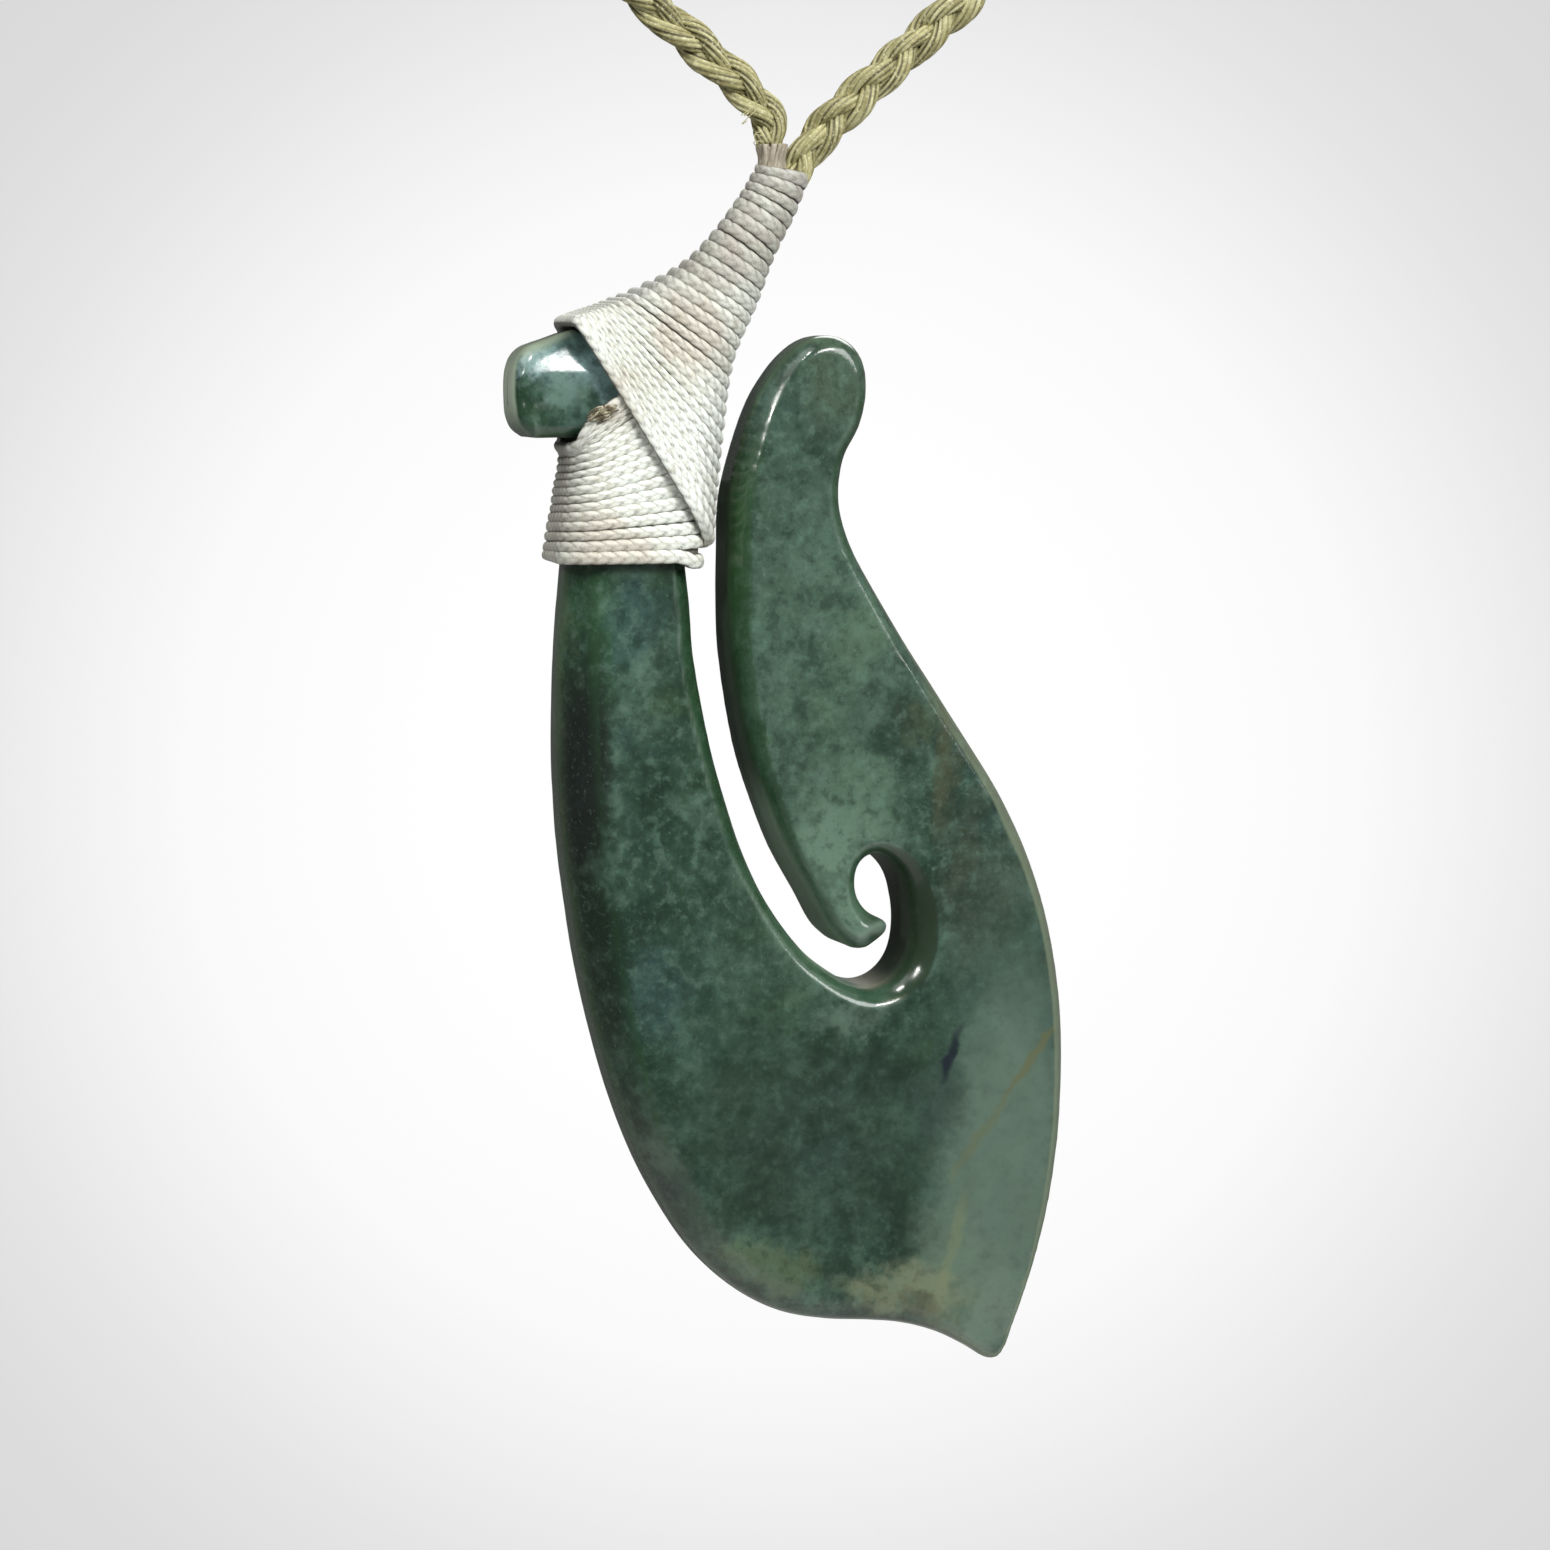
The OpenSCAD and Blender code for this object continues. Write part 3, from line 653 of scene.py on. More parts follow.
def patch_share(graph, place, across, up, half_w, half_h, turn, soft=0.48):
    """1 in the middle of an ellipse that runs through the stone from front to back."""
    inputs = {
        "Vector": place,
        "Location": (across, 0.0, up),
        "Rotation": (0.0, math.radians(turn), 0.0),
        "Scale": (half_w, 1e4, half_h),
    }
    local = graph.add("ShaderNodeMapping", inputs, vector_type="TEXTURE").outputs[0]
    return graph.fade(graph.length(local), 1 + soft, 1 - soft)


def paint(graph, colour, place, patches, mask=None):
    """Mixes patches into the colour, everywhere or as far as the mask lets them."""
    for *ellipse, tone, strength in patches:
        share = graph.times(patch_share(graph, place, *ellipse), strength)
        if mask is not None:
            share = graph.times(share, mask)
        colour = graph.mix(share, colour, srgb(*tone))
    return colour


def fleck(graph, colour, grain, masks, pale, dark):
    """Mixes pale flecks in where the grain is high, and dark ones where it is low."""
    for mask, (low, high, most, tone) in zip(masks, (pale, dark)):
        share = graph.times(graph.fade(grain, low, high, 0.0, most), mask)
        colour = graph.mix(share, colour, srgb(*tone))
    return colour


def drift(graph, place, scale, detail, rough, amount):
    """A shift that varies from place to place, up to half of amount each way."""
    cloud = graph.noise(place, scale, detail, rough, colour=True)
    return graph.vector("MULTIPLY", graph.vector("SUBTRACT", cloud, (0.5,) * 3), (amount,) * 3)


def stone_warp(graph, place):
    """The place with its edges pulled about, so that clouds and patches look ragged."""
    warped = place
    for scale, detail, amount in ((0.22, 3.0, 5.0), (0.9, 3.0, 3.0), (2.6, 2.0, 0.5)):
        warped = graph.vector("ADD", warped, drift(graph, place, scale, detail, 0.62, amount))
    return warped


def stone_clouds(graph, place, warped):
    """The green of the stone's face with its clouds, patches, flecks and grain."""
    colour = graph.ramp(graph.noise(warped, 0.20, 5.0, 0.62), [
        (0.28, srgb(28, 46, 36)),
        (0.43, srgb(40, 61, 49)),
        (0.55, srgb(53, 77, 64)),
        (0.72, srgb(77, 104, 87)),
    ])
    hue = graph.noise(place, 0.13, 3.0)
    colour = graph.tint(colour, hue, 0.52, 0.70, 0.40, (62, 84, 52))
    colour = graph.tint(colour, hue, 0.46, 0.30, 0.35, (54, 82, 82))
    # Some patches and two streaks are painted light, as noted in their tables
    colour = paint(graph, colour, warped, STONE_PATCHES)

    # Few flecks of either kind on the leaf's milky field, and few pale ones on its lower part
    milky = patch_share(graph, warped, 17.0, -76.0, 7.0, 20.0, 6, 0.6)
    lower = patch_share(graph, warped, 0.0, -76.0, 14.0, 12.0, 0, 0.5)
    lively = graph.math("SUBTRACT", 1.0, graph.times(milky, 0.75))
    sparkle = graph.math("SUBTRACT", lively, graph.times(lower, 0.55), clamp=True)
    masks = (sparkle, lively)
    for scale, most in ((0.34, 0.30), (0.95, 0.40)):
        mottle = graph.noise(place, scale, 3.0, 0.60)
        pale, dark = (0.50, 0.70, most, (94, 122, 106)), (0.49, 0.31, 0.48, (26, 44, 34))
        colour = fleck(graph, colour, mottle, masks, pale, dark)
    near = graph.vector("ADD", place, drift(graph, place, 0.7, 2.0, 0.5, 1.2))
    colour = paint(graph, colour, near, STREAKS)
    grain = graph.noise(place, 2.6, 3.0, 0.60)
    pale, dark = (0.54, 0.82, 0.30, (112, 140, 124)), (0.46, 0.24, 0.30, (26, 40, 30))
    return fleck(graph, colour, grain, masks, pale, dark), grain


def stone_walls(graph, place, colour):
    """Painted shade on the slot's walls, painted light on the outer ones and on the arrises."""
    normal = graph.add("ShaderNodeNewGeometry").outputs["Normal"]
    facing = graph.math("ABSOLUTE", graph.part(normal, "Y"))
    wall = graph.fade(facing, 0.60, 0.25)
    bevel = graph.math("SUBTRACT", graph.fade(facing, 0.95, 0.84), wall)
    sloped = graph.fade(facing, 0.985, 0.93)
    across = graph.part(place, "X")
    rim = graph.stored("rim")
    inside = graph.math("SUBTRACT", 1.0, rim)
    # Painted shade: the walls and bevels inside the slot and the hollow are darkened
    inner_wall_shade = graph.times(wall, inside)
    colour = graph.mix(graph.times(inner_wall_shade, 0.70), colour, srgb(42, 64, 40))
    colour = graph.mix(graph.times(graph.times(bevel, inside), 0.50), colour, srgb(42, 74, 44))

    # Painted reflection: the walls round the outside are paler, olive on the left and paler to the
    # right, with a paler rim on the right side
    outer = graph.mix(graph.fade(across, -2.0, 12.0), srgb(84, 104, 76), srgb(138, 148, 124))
    edge = graph.times(graph.fade(facing, 0.58, 0.34, 0.0, 0.45), rim)
    colour = graph.mix(edge, colour, outer)
    right = graph.times(graph.fade(across, 8.0, 16.0, 0.0, 0.50), rim)
    right = graph.times(graph.fade(facing, 0.95, 0.82), right)
    colour = graph.mix(right, colour, srgb(136, 146, 120))
    colour = paint(graph, colour, place, WALL_PATCHES, wall)
    colour = paint(graph, colour, place, BEVEL_PATCHES, sloped)

    # A painted highlight along the arrises on the shank's side of the slot
    arris_highlight = graph.times(graph.fade(graph.stored("bulge"), 0.32, 0.85, 0.0, 0.40), inside)
    arris_highlight = graph.times(arris_highlight, graph.fade(graph.part(normal, "X"), -0.25, 0.0))
    return graph.mix(arris_highlight, colour, srgb(136, 156, 140)), inner_wall_shade


def stone_material():
    material, graph, shader = new_material("polished_green_stone")
    place = pendant_place(graph)
    colour, grain = stone_clouds(graph, place, stone_warp(graph, place))
    colour, inner_wall_shade = stone_walls(graph, place, colour)
    graph.feed(shader.inputs["Base Color"], colour)

    shader.inputs["IOR"].default_value = 1.61
    smear = graph.noise(place, 0.5, 4.0, 0.6)
    rough = graph.fade(smear, 0.3, 0.7, 0.11, 0.22)
    dull = graph.times(inner_wall_shade, 0.45)
    graph.feed(shader.inputs["Roughness"], graph.math("ADD", rough, dull))
    polish = graph.bump(graph.noise(place, 0.8, 3.0), 0.03 * MM, 0.8)
    graph.feed(shader.inputs["Normal"], graph.bump(grain, 0.005 * MM, 0.8, polish))
    shader.inputs["Subsurface Weight"].default_value = 0.06
    shader.inputs["Subsurface Radius"].default_value = (0.6 * MM, 1.2 * MM, 0.8 * MM)
    shader.inputs["Subsurface Scale"].default_value = 1.0
    return material


def build_stone():
    mesh = stone_mesh()
    polish_stone(mesh)
    stone = add_piece("carved_stone", mesh, stone_material())
    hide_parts("hook")


# The thread

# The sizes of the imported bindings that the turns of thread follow, in mm
THREAD_T, PITCH, GAP = 0.8, 1.08, 0.12
NECK_D = 4.4
KNOB_H, KNOB_L, WHIP_L = 8.4, 5.1, 10.0
NOTCH_X = -16.72
KNOB_Z = HEAD_Z - 1.035 * KNOB_H
WHIP_TOP = KNOB_Z - 4 * GAP
WHIP_RISE = 0.78 * KNOB_H
WHIP_LAYERS = ([0, 0.1, 0.25, 0.5, 1], [0.8, 1.35, 1.3, 1.05, 1])
# The shank's binding: the distance between its turns at its foot and at its top, the sag of its
# turns, the dip of its right foot, and the share of its length at which it starts
WHIP_STEPS = ([0, 1], [0.98, 1.32])
WHIP_SAG, WHIP_DIP, WHIP_FOOT = 0.9, 0.5, 0.135
# How many turns are piled in the notch above the rest, and the rise of each, in mm
PILED, PILE_RISE = 4, 0.78
FAN_ROWS = np.array([
    # left end across and down, right end across and down, hold on the stone, as shares
    [0.000, 0.000, 0.000, 0.000, 0.00],
    [0.063, 0.123, 0.077, 0.055, 0.00],
    [0.124, 0.242, 0.178, 0.120, 0.03],
    [0.198, 0.375, 0.290, 0.182, 0.08],
    [0.295, 0.530, 0.395, 0.250, 0.18],
    [0.395, 0.650, 0.475, 0.318, 0.36],
    [0.505, 0.740, 0.565, 0.378, 0.58],
    [0.622, 0.812, 0.665, 0.438, 0.80],
    [0.730, 0.868, 0.755, 0.508, 0.92],
    [0.815, 0.912, 0.820, 0.597, 0.98],
    [0.888, 0.946, 0.880, 0.710, 1.00],
    [0.951, 0.975, 0.940, 0.846, 1.00],
    [1.000, 1.000, 1.000, 1.000, 1.00],
])
FAN_LAST = len(FAN_ROWS) - 1
# The row up to which the inner layer is hollow, so that it stays off the stone
HOLLOW_ROW = 7.6
# The distance between points of a wound thread, in mm
THREAD_STEP = 0.15


def shank_edges():
    """Left and right edges of the shank by height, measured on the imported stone."""
    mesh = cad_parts["hook"].data
    tree = BVHTree.FromPolygons(
        [v.co for v in mesh.vertices], [list(p.vertices) for p in mesh.polygons]
    )
    rows = []
    for z in np.arange(KNOB_Z - 12, KNOB_Z + 0.8 * KNOB_H, 0.5):
        level = (APEX + [0, 0, z]) * MM
        inside = Vector(((APEX[0] + NOTCH_X + 4) * MM, level[1], level[2]))
        left = tree.ray_cast(inside, Vector((-1, 0, 0)))[0]
        right = tree.ray_cast(inside, Vector((1, 0, 0)))[0]
        rows.append([z, left.x / MM - APEX[0], right.x / MM - APEX[0]])
    return np.array(rows)


SHANK = shank_edges()


def shank_left(z):
    return float(np.interp(z, SHANK[:, 0], SHANK[:, 1]))


def shank_right(z):
    return float(np.interp(z, SHANK[:, 0], SHANK[:, 2]))


def turn_outline(left, right, deep, corner):
    """Rounded loop in the plane of a turn, as points and the ways out from it."""
    left, right = np.array(left), np.array(right)
    middle = (left + right) / 2
    span = np.linalg.norm(right - left) / 2
    way = (right - left) / (2 * span)
    points, outs = [], []
    for quarter, end, face in ((0, 1, 1), (1, 0, 1), (2, 0, -1), (3, 1, -1)):
        c = min(corner[end], deep[end], span)
        for k in range(7):
            a = math.pi / 2 * (quarter + k / 6)
            u = (2 * end - 1) * (span - c) + c * math.cos(a)
            v = face * (deep[end] - c) + c * math.sin(a)
            points.append([middle[0] + way[0] * u, v, middle[1] + way[1] * u])
            outs.append([way[0] * math.cos(a), math.sin(a), way[1] * math.cos(a)])
    return np.array(points), np.array(outs)


def loop_point(outline, share):
    """The place at a share of the way round the loop, and the way out from it there."""
    points, outs = outline
    closed = np.vstack([points, points[:1]])
    ways = np.vstack([outs, outs[:1]])
    steps = distances(closed)
    at = share * steps[-1]
    i = min(np.searchsorted(steps, at, side="right") - 1, len(points) - 1)
    t = (at - steps[i]) / max(steps[i + 1] - steps[i], 1e-9)
    return closed[i] + (closed[i + 1] - closed[i]) * t, unit(ways[i] + (ways[i + 1] - ways[i]) * t)


def whip_outline(s, off, piled=0.0):
    """The loop of the shank's binding at a share of its length from its foot."""
    rise = WHIP_RISE * s * s
    z_left = WHIP_TOP - WHIP_L * (1 - s)
    z_right = z_left + rise
    left = np.array([shank_left(z_left), z_left])
    right = np.array([shank_right(z_right), z_right])
    way = (right - left) / np.linalg.norm(right - left)
    deep = [half_t(z_left) + off, half_t(z_right) + off]
    right_soft = SLOT_SOFT + (BOUND_SOFT - SLOT_SOFT) * min(1.0, 2 * s)
    corner = [WHIP_HUG * EDGE_R * soft + off for soft in (1.0, right_soft)]
    points, outs = turn_outline(left - way * off, right + way * off, deep, corner)
    across = np.clip((points[:, 0] - left[0]) / (right[0] - left[0]), 0, 1)
    points[:, 2] -= WHIP_SAG * s * s * 4 * across * (1 - across)
    dip = WHIP_DIP * max(0.0, 1 - 12 * (s - WHIP_FOOT))
    points[:, 2] -= dip * np.exp(-(((across - 1) / 0.08) ** 2))
    points[:, 2] += PILE_RISE * piled * (4 * across * (1 - across)) ** 0.6 * (1.2 - 0.4 * across)
    return points, outs


NECK_LEFT = NECK_D * np.array([-0.52, -0.08])
NECK_RIGHT = NECK_D * np.array([0.48, -0.20])
FAN_FOOT_Z = WHIP_TOP - 0.83 * WHIP_L
FAN_LEFT = np.array([NOTCH_X - 0.13 * KNOB_L, KNOB_Z + KNOB_H + GAP + 0.85 * THREAD_T])
FAN_RIGHT = np.array([shank_right(FAN_FOOT_Z) + 2 * (GAP + THREAD_T), FAN_FOOT_Z])
# How many rows the right end of a turn runs ahead of its left end
FAN_LEAN = 0.75


def fan_row(t):
    i = min(FAN_LAST - 1, int(t))
    a, b = FAN_ROWS[max(0, i - 1)], FAN_ROWS[i]
    c, d = FAN_ROWS[i + 1], FAN_ROWS[min(FAN_LAST, i + 2)]
    u = t - i
    return (
        b
        + (c - a) / 2 * u
        + (a - 2.5 * b + 2 * c - d / 2) * u**2
        + (1.5 * (b - c) + (d - a) / 2) * u**3
    )


def fan_ends(t):
    """Left and right ends of the loop at row t, and its hold on the stone."""
    ahead = FAN_LEAN * (1 - math.exp(-((t / 0.6) ** 2))) * max(0.0, 1 - t / FAN_LAST) ** 0.7
    row, lead = fan_row(t), fan_row(min(t + ahead, FAN_LAST))
    left = NECK_LEFT + (FAN_LEFT - NECK_LEFT) * row[:2]
    right = NECK_RIGHT + (FAN_RIGHT - NECK_RIGHT) * lead[2:4]
    return left, right, row[4]


def turns_at(rows, lefts, rights, pitch):
    """How many turns have passed at each row, where turns are a pitch apart at the wider end."""
    steps = [np.linalg.norm(np.diff(ends, axis=0), axis=1) for ends in (lefts, rights)]
    wider = np.maximum(*steps)
    middles = (rows[1:] + rows[:-1]) / 2
    return np.concatenate([[0], np.cumsum(wider / np.interp(middles, rows, pitch))])


FAN_GRID = np.linspace(0, FAN_LAST, 241)
FAN_PACE = turns_at(
    FAN_GRID,
    [fan_ends(t)[0] for t in FAN_GRID],
    [fan_ends(t)[1] for t in FAN_GRID],
    np.full(len(FAN_GRID), PITCH),
)
# The last turn ends behind the pendant
FAN_TURNS = math.floor(FAN_PACE[-1]) - 0.25

WHIP_GRID = np.linspace(WHIP_FOOT, 1, 121)
WHIP_PACE = turns_at(
    WHIP_GRID,
    np.stack([0 * WHIP_GRID, WHIP_L * WHIP_GRID], 1),
    np.stack([0 * WHIP_GRID, WHIP_L * WHIP_GRID + WHIP_RISE * WHIP_GRID**2], 1),
    np.interp(WHIP_GRID, *WHIP_STEPS),
)
WHIP_TURNS = math.floor(WHIP_PACE[-1]) + PILED + 0.75


def fan_outline(t, off):
    """The loop of thread at row t, from the top of the neck to the last turn on the stone."""
    left, right, hold = fan_ends(t)
    way = (right - left) / np.linalg.norm(right - left)
    cover = 2 * (GAP + THREAD_T)
    deep = [
        NECK_D / 2 * (1 - hold) + (half_t(end[1]) + cover) * hold + off
        for end in (left, right)
    ]
    corner = [
        NECK_D / 2 * (1 - hold) + inner * hold + off
        for inner in (EDGE_R / 2 + THREAD_T, BOUND_SOFT * EDGE_R + cover)
    ]
    return turn_outline(left - way * off, right + way * off, deep, corner)


def wind(outline_at, turns, step, start_share):
    """A path that winds round loops which move on by one turn each time round.

    Also gives the distance from each point to the turn after it.
    """
    path, outs, ats = [], [], []
    at = 0.0
    while at < turns:
        outline = outline_at(at)
        length = np.linalg.norm(np.diff(outline[0], axis=0), axis=1).sum()
        point, out = loop_point(outline, (at + start_share) % 1.0)
        path.append(point)
        outs.append(out)
        ats.append(at)
        at += step / length
    path, ats = np.array(path), np.array(ats)
    after = np.stack([np.interp(ats + 1, ats, path[:, i]) for i in range(3)], 1)
    room = np.linalg.norm(after - path, axis=1)
    room[ats > ats[-1] - 1] = PITCH
    return path, np.array(outs), room


def braid_relief(along, angles, amount):
    """Height of a round braid of four strands: two rows of slanting lobes show at a time."""
    lobe, slant = 1.1, 1.5
    relief = np.zeros((len(along), len(angles)))
    for row in range(4):
        middle = math.pi / 4 + row * math.pi / 2
        turn = (angles - middle + math.pi) % (2 * math.pi) - math.pi
        cover = np.clip(np.cos(np.clip(turn, -math.pi / 2.6, math.pi / 2.6) * 1.4), 0, 1)
        way = 1 if row % 2 == 0 else -1
        phase = along[:, None] / lobe + way * slant * turn[None, :] / math.pi + row / 2
        swell = np.abs(np.sin(math.pi * phase)) ** 0.6
        relief = np.maximum(relief, cover[None, :] * swell)
    return amount * (relief - 0.75)


THREAD_ANGLES = np.radians([0, 18, 36, 54, 72, 92, 118, 155, 205, 242, 268, 288, 306, 324, 342])
BRAID_DEPTH = 0.17


def add_thread(bundle, path, outs, room, high, spare):
    """Braided thread along a path, high mm from its middle, and squeezed where turns crowd.

    spare is how far a turn's side stands past the middle of the gap to the next one.
    """
    along = distances(path)
    relief = braid_relief(along, THREAD_ANGLES, BRAID_DEPTH)
    # The gaps between turns open and close along the thread
    ease, length = 0.05, 7.3
    narrowest, widest = 0.28, 0.60
    half_side = 0.50 * room + spare + ease * np.sin(along / length)
    half_side = np.clip(half_side, narrowest, widest)
    bundle.add(path, outs, half_side, high, relief, 0.5, THREAD_ANGLES)


def thread_material():
    material, graph, shader = new_material("bound_thread")
    place = pendant_place(graph)
    colour = graph.ramp(graph.noise(place, 0.16, 3.0), [
        (0.36, srgb(212, 206, 192)),
        (0.48, srgb(236, 239, 227)),
        (0.64, srgb(247, 252, 244)),
    ])
    along = graph.add("ShaderNodeCombineXYZ", {"X": graph.stored("along")}).outputs[0]
    streak = graph.noise(along, 0.7, 3.0)
    colour = graph.tint(colour, streak, 0.52, 0.68, 0.50, (184, 176, 156))
    colour = graph.tint(colour, streak, 0.46, 0.32, 0.45, (196, 204, 184))
    # Greyer and pinker in the neck and at the binding's outer side: its own tint, and painted shade
    height = graph.part(place, "Z")
    neck = graph.fade(height, -13.0, -7.0, 0.0, 0.72)
    outer = graph.times(graph.fade(graph.part(place, "X"), -14.0, -17.5),
                        graph.fade(height, -17.0, -21.0, 0.0, 0.45))
    cloud = graph.noise(place, 0.5, 3.0)
    grey_tint_and_shade = graph.mix(graph.fade(cloud, 0.42, 0.60), srgb(150, 140, 130), srgb(172, 172, 158))
    colour = graph.mix(graph.math("MAXIMUM", neck, outer), colour, grey_tint_and_shade)
    # Painted shade in the braid's grooves, and on each turn's sides where it meets the next
    colour = graph.tint(colour, graph.stored("relief"), 0.0, -0.10, 0.56, (104, 102, 86))
    colour = graph.tint(colour, graph.stored("rise"), 0.68, 0.30, 0.92, (64, 60, 48))
    fibre = graph.noise(place, 9.0)
    colour = graph.tint(colour, fibre, 0.52, 0.72, 0.30, (240, 246, 238))
    colour = graph.tint(colour, fibre, 0.46, 0.30, 0.30, (136, 136, 122))
    shader.inputs["Sheen Weight"].default_value = 0.15
    shader.inputs["Sheen Roughness"].default_value = 0.5
    feed_fibres(graph, shader, colour, fibre, (0.34, 0.54), 0.03)
    return material


def core_mesh(name, rings):
    """A closed skin over loops that follow each other and come back to the first."""
    points = (np.concatenate(rings) + APEX) * MM
    mesh = bpy.data.meshes.new(name)
    mesh.from_pydata(points.tolist(), [], tube_faces(len(rings), len(rings[0]), True))
    return mesh


# The inner layer is real, but coloured much darker than the thread as painted shade seen between
# the turns
def underlayer_shade_material():
    material, graph, shader = new_material("underlayer_painted_shade")
    grain = graph.noise(pendant_place(graph), 2.5, 3.0)
    tone = graph.ramp(grain, [(0.35, srgb(74, 70, 60)), (0.65, srgb(112, 108, 96))])
    feed_fibres(graph, shader, tone, grain, (0.7, 0.9), 0.08)
    return material


def build_neck_thread(material, under):
    """One long thread down the neck and over the head in a fan, over an inner layer."""
    # The turns are pulled flatter in the neck than on the stone, by row, in mm
    high_rows, highs = (0, 4, 9), (0.32, 0.34, 0.42)
    # The first turns are raised, up to a row, to cover the feet of the cord
    raised, raised_rows = 0.30, 0.8
    proud = 0.02

    def fan_at(at):
        row = float(np.interp(at / FAN_TURNS * FAN_PACE[-1], FAN_PACE, FAN_GRID))
        points, outs = fan_outline(row, proud - np.interp(row, high_rows, highs))
        points[:, 2] += raised * max(0.0, 1 - row / raised_rows)
        return points, outs

    path, outs, room = wind(fan_at, FAN_TURNS, THREAD_STEP, 0.5)
    rows = np.interp(np.linspace(0, FAN_PACE[-1], len(path)), FAN_PACE, FAN_GRID)
    neck = Bundle()
    add_thread(neck, path, outs, room, np.interp(rows, high_rows, highs), 0.03)
    piece = add_piece("neck_thread", neck.mesh("neck_thread"), material)
    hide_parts("neck_whipping")

    seat, lining, last = -0.5 * THREAD_T - 0.03, -1.0 * THREAD_T, FAN_LAST - 0.1
    outer = [fan_outline(t, seat)[0] for t in np.linspace(0, last, 48)]
    inner = [fan_outline(t, lining)[0] for t in np.linspace(last, HOLLOW_ROW, 20)]
    tips = [np.repeat(ring.mean(0)[None, :], len(ring), 0) for ring in (inner[-1], outer[0])]
    core = core_mesh("neck_shaded_underlayer", outer + inner + tips)
    add_piece("neck_shaded_underlayer", core, under)


def build_shank_thread(material, under):
    """One long thread round the shank, with its last turns piled under the knob."""

    def whip_at(at):
        # Each turn lies level in front and steps up to the next at the back
        turn, phase = divmod(at - 0.25, 1.0)
        climbed = max(0.0, turn + max(0.0, 2 * phase - 1))
        s = float(np.interp(climbed, WHIP_PACE, WHIP_GRID))
        piled = max(0.0, climbed - WHIP_PACE[-1])
        layers = np.interp(s, *WHIP_LAYERS) + 0.25 * min(piled, 1.0)
        return whip_outline(s, GAP + THREAD_T * (layers - 0.5), piled)

    path, outs, room = wind(whip_at, WHIP_TURNS, THREAD_STEP, 0.25)
    whip = Bundle()
    add_thread(whip, path, outs, room, 0.44, 0.07)
    piece = add_piece("shank_thread", whip.mesh("shank_thread"), material)
    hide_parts("shank_whipping")

    top = 0.98
    outer = [
        whip_outline(s, GAP + THREAD_T * (np.interp(s, *WHIP_LAYERS) - 0.55))[0]
        for s in np.linspace(WHIP_FOOT, top, 24)
    ]
    inner = [whip_outline(s, GAP * 0.6)[0] for s in np.linspace(top, WHIP_FOOT, 12)]
    add_piece("shank_shaded_underlayer", core_mesh("shank_shaded_underlayer", outer + inner), under)


def build_threads():
    """The two bindings, each one long thread over an inner layer."""
    material, under = thread_material(), underlayer_shade_material()
    build_neck_thread(material, under)
    build_shank_thread(material, under)


# The plaited cord

# The route of the cord in the row frame, in mm, from the right leg over the top to the left one
RIGHT_LEG = [
    [-0.2, -146, -205.1],
    [1.9, -145.8, -201.6],
    [6, -145.4, -197.9],
    [13, -144.6, -191.8],
    [24, -143, -181.5],
    [37, -140, -167],
]
RIGHT_SIDE = [
    [49, -135, -149],
    [60, -127, -127],
    [68, -116, -103],
    [73, -101, -79],
    [74, -83, -56],
    [70, -63, -36],
    [60, -41, -19],
    [43, -20, -7],
    [22, -5, -1],
]
LEFT_LEG = [
    [-36, -140, -167],
    [-23, -143, -181.5],
    [-12.5, -144.6, -192.2],
    [-6, -145.4, -197.9],
    [-3.1, -145.8, -201.3],
    [-2.9, -146, -203.29],
]
LEFT_SIDE = [[-x, y, z] for x, y, z in reversed(RIGHT_SIDE)]
CORD_ROUTE = np.array(RIGHT_LEG + RIGHT_SIDE + [[0, 0, 0]] + LEFT_SIDE + LEFT_LEG)


def smooth_route(points, steps):
    """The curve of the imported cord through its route, with steps samples on each stretch."""
    last = len(points) - 1
    curve = []
    for i in range(last):
        b, c = points[i], points[i + 1]
        a = points[i - 1] if i > 0 else 2 * b - c
        d = points[i + 2] if i < last - 1 else 2 * c - b
        k01, k12, k23 = [math.sqrt(np.linalg.norm(q - p)) for p, q in ((a, b), (b, c), (c, d))]
        t1, t2, t3 = k01, k01 + k12, k01 + k12 + k23
        for u in np.arange(steps + (i == last - 1)) / steps:
            t = t1 + (t2 - t1) * u
            a1 = a + (b - a) * (t / t1)
            a2 = b + (c - b) * ((t - t1) / k12)
            a3 = c + (d - c) * ((t - t2) / k23)
            b1 = a1 + (a2 - a1) * (t / t2)
            b2 = a2 + (a3 - a2) * ((t - t1) / (t3 - t1))
            curve.append(b1 + (b2 - b1) * ((t - t1) / k12))
    return np.array(curve)


def cord_line():
    """Rings of the cord's middle line: place, distance, and the two ways across."""
    curve = smooth_route(CORD_ROUTE - APEX, 40)
    # The right leg's foot is drawn a little way into the neck, and to the left
    sunk, shift, shift_fades = 0.8, 0.85, 3.5
    foot = curve[0] - unit(curve[1] - curve[0]) * sunk
    curve = np.vstack([foot, curve])
    total = distances(curve)
    length = total[-1]
    # Rings are closer together within near mm of the feet, where the camera sees the cord
    fine, coarse, near = 0.30, 0.55, 45.0
    at = [0.0]
    while at[-1] < length:
        at.append(at[-1] + (fine if min(at[-1], length - at[-1]) < near else coarse))
    at = np.array(at) * length / at[-1]
    line = np.stack([np.interp(at, total, curve[:, i]) for i in range(3)], 1)
    line[:, 0] -= shift * np.exp(-((at / shift_fades) ** 2))
    ways = unit(np.gradient(line, axis=0))
    across = unit(np.cross(ways, DEPTH))
    return line, at, across, unit(np.cross(across, ways))


# The number of yarns round a strand, the depth of the creases between them as a share of the
# strand's size, and the length in which they go round it once, in mm
YARNS, CREASE, LAY = 8, 0.30, 11.0


def sway(at, length, draw):
    """A slow wave along the cord, from -1 to 1, with a drawn start."""
    return np.sin(at / length + draw.uniform(0, 6))


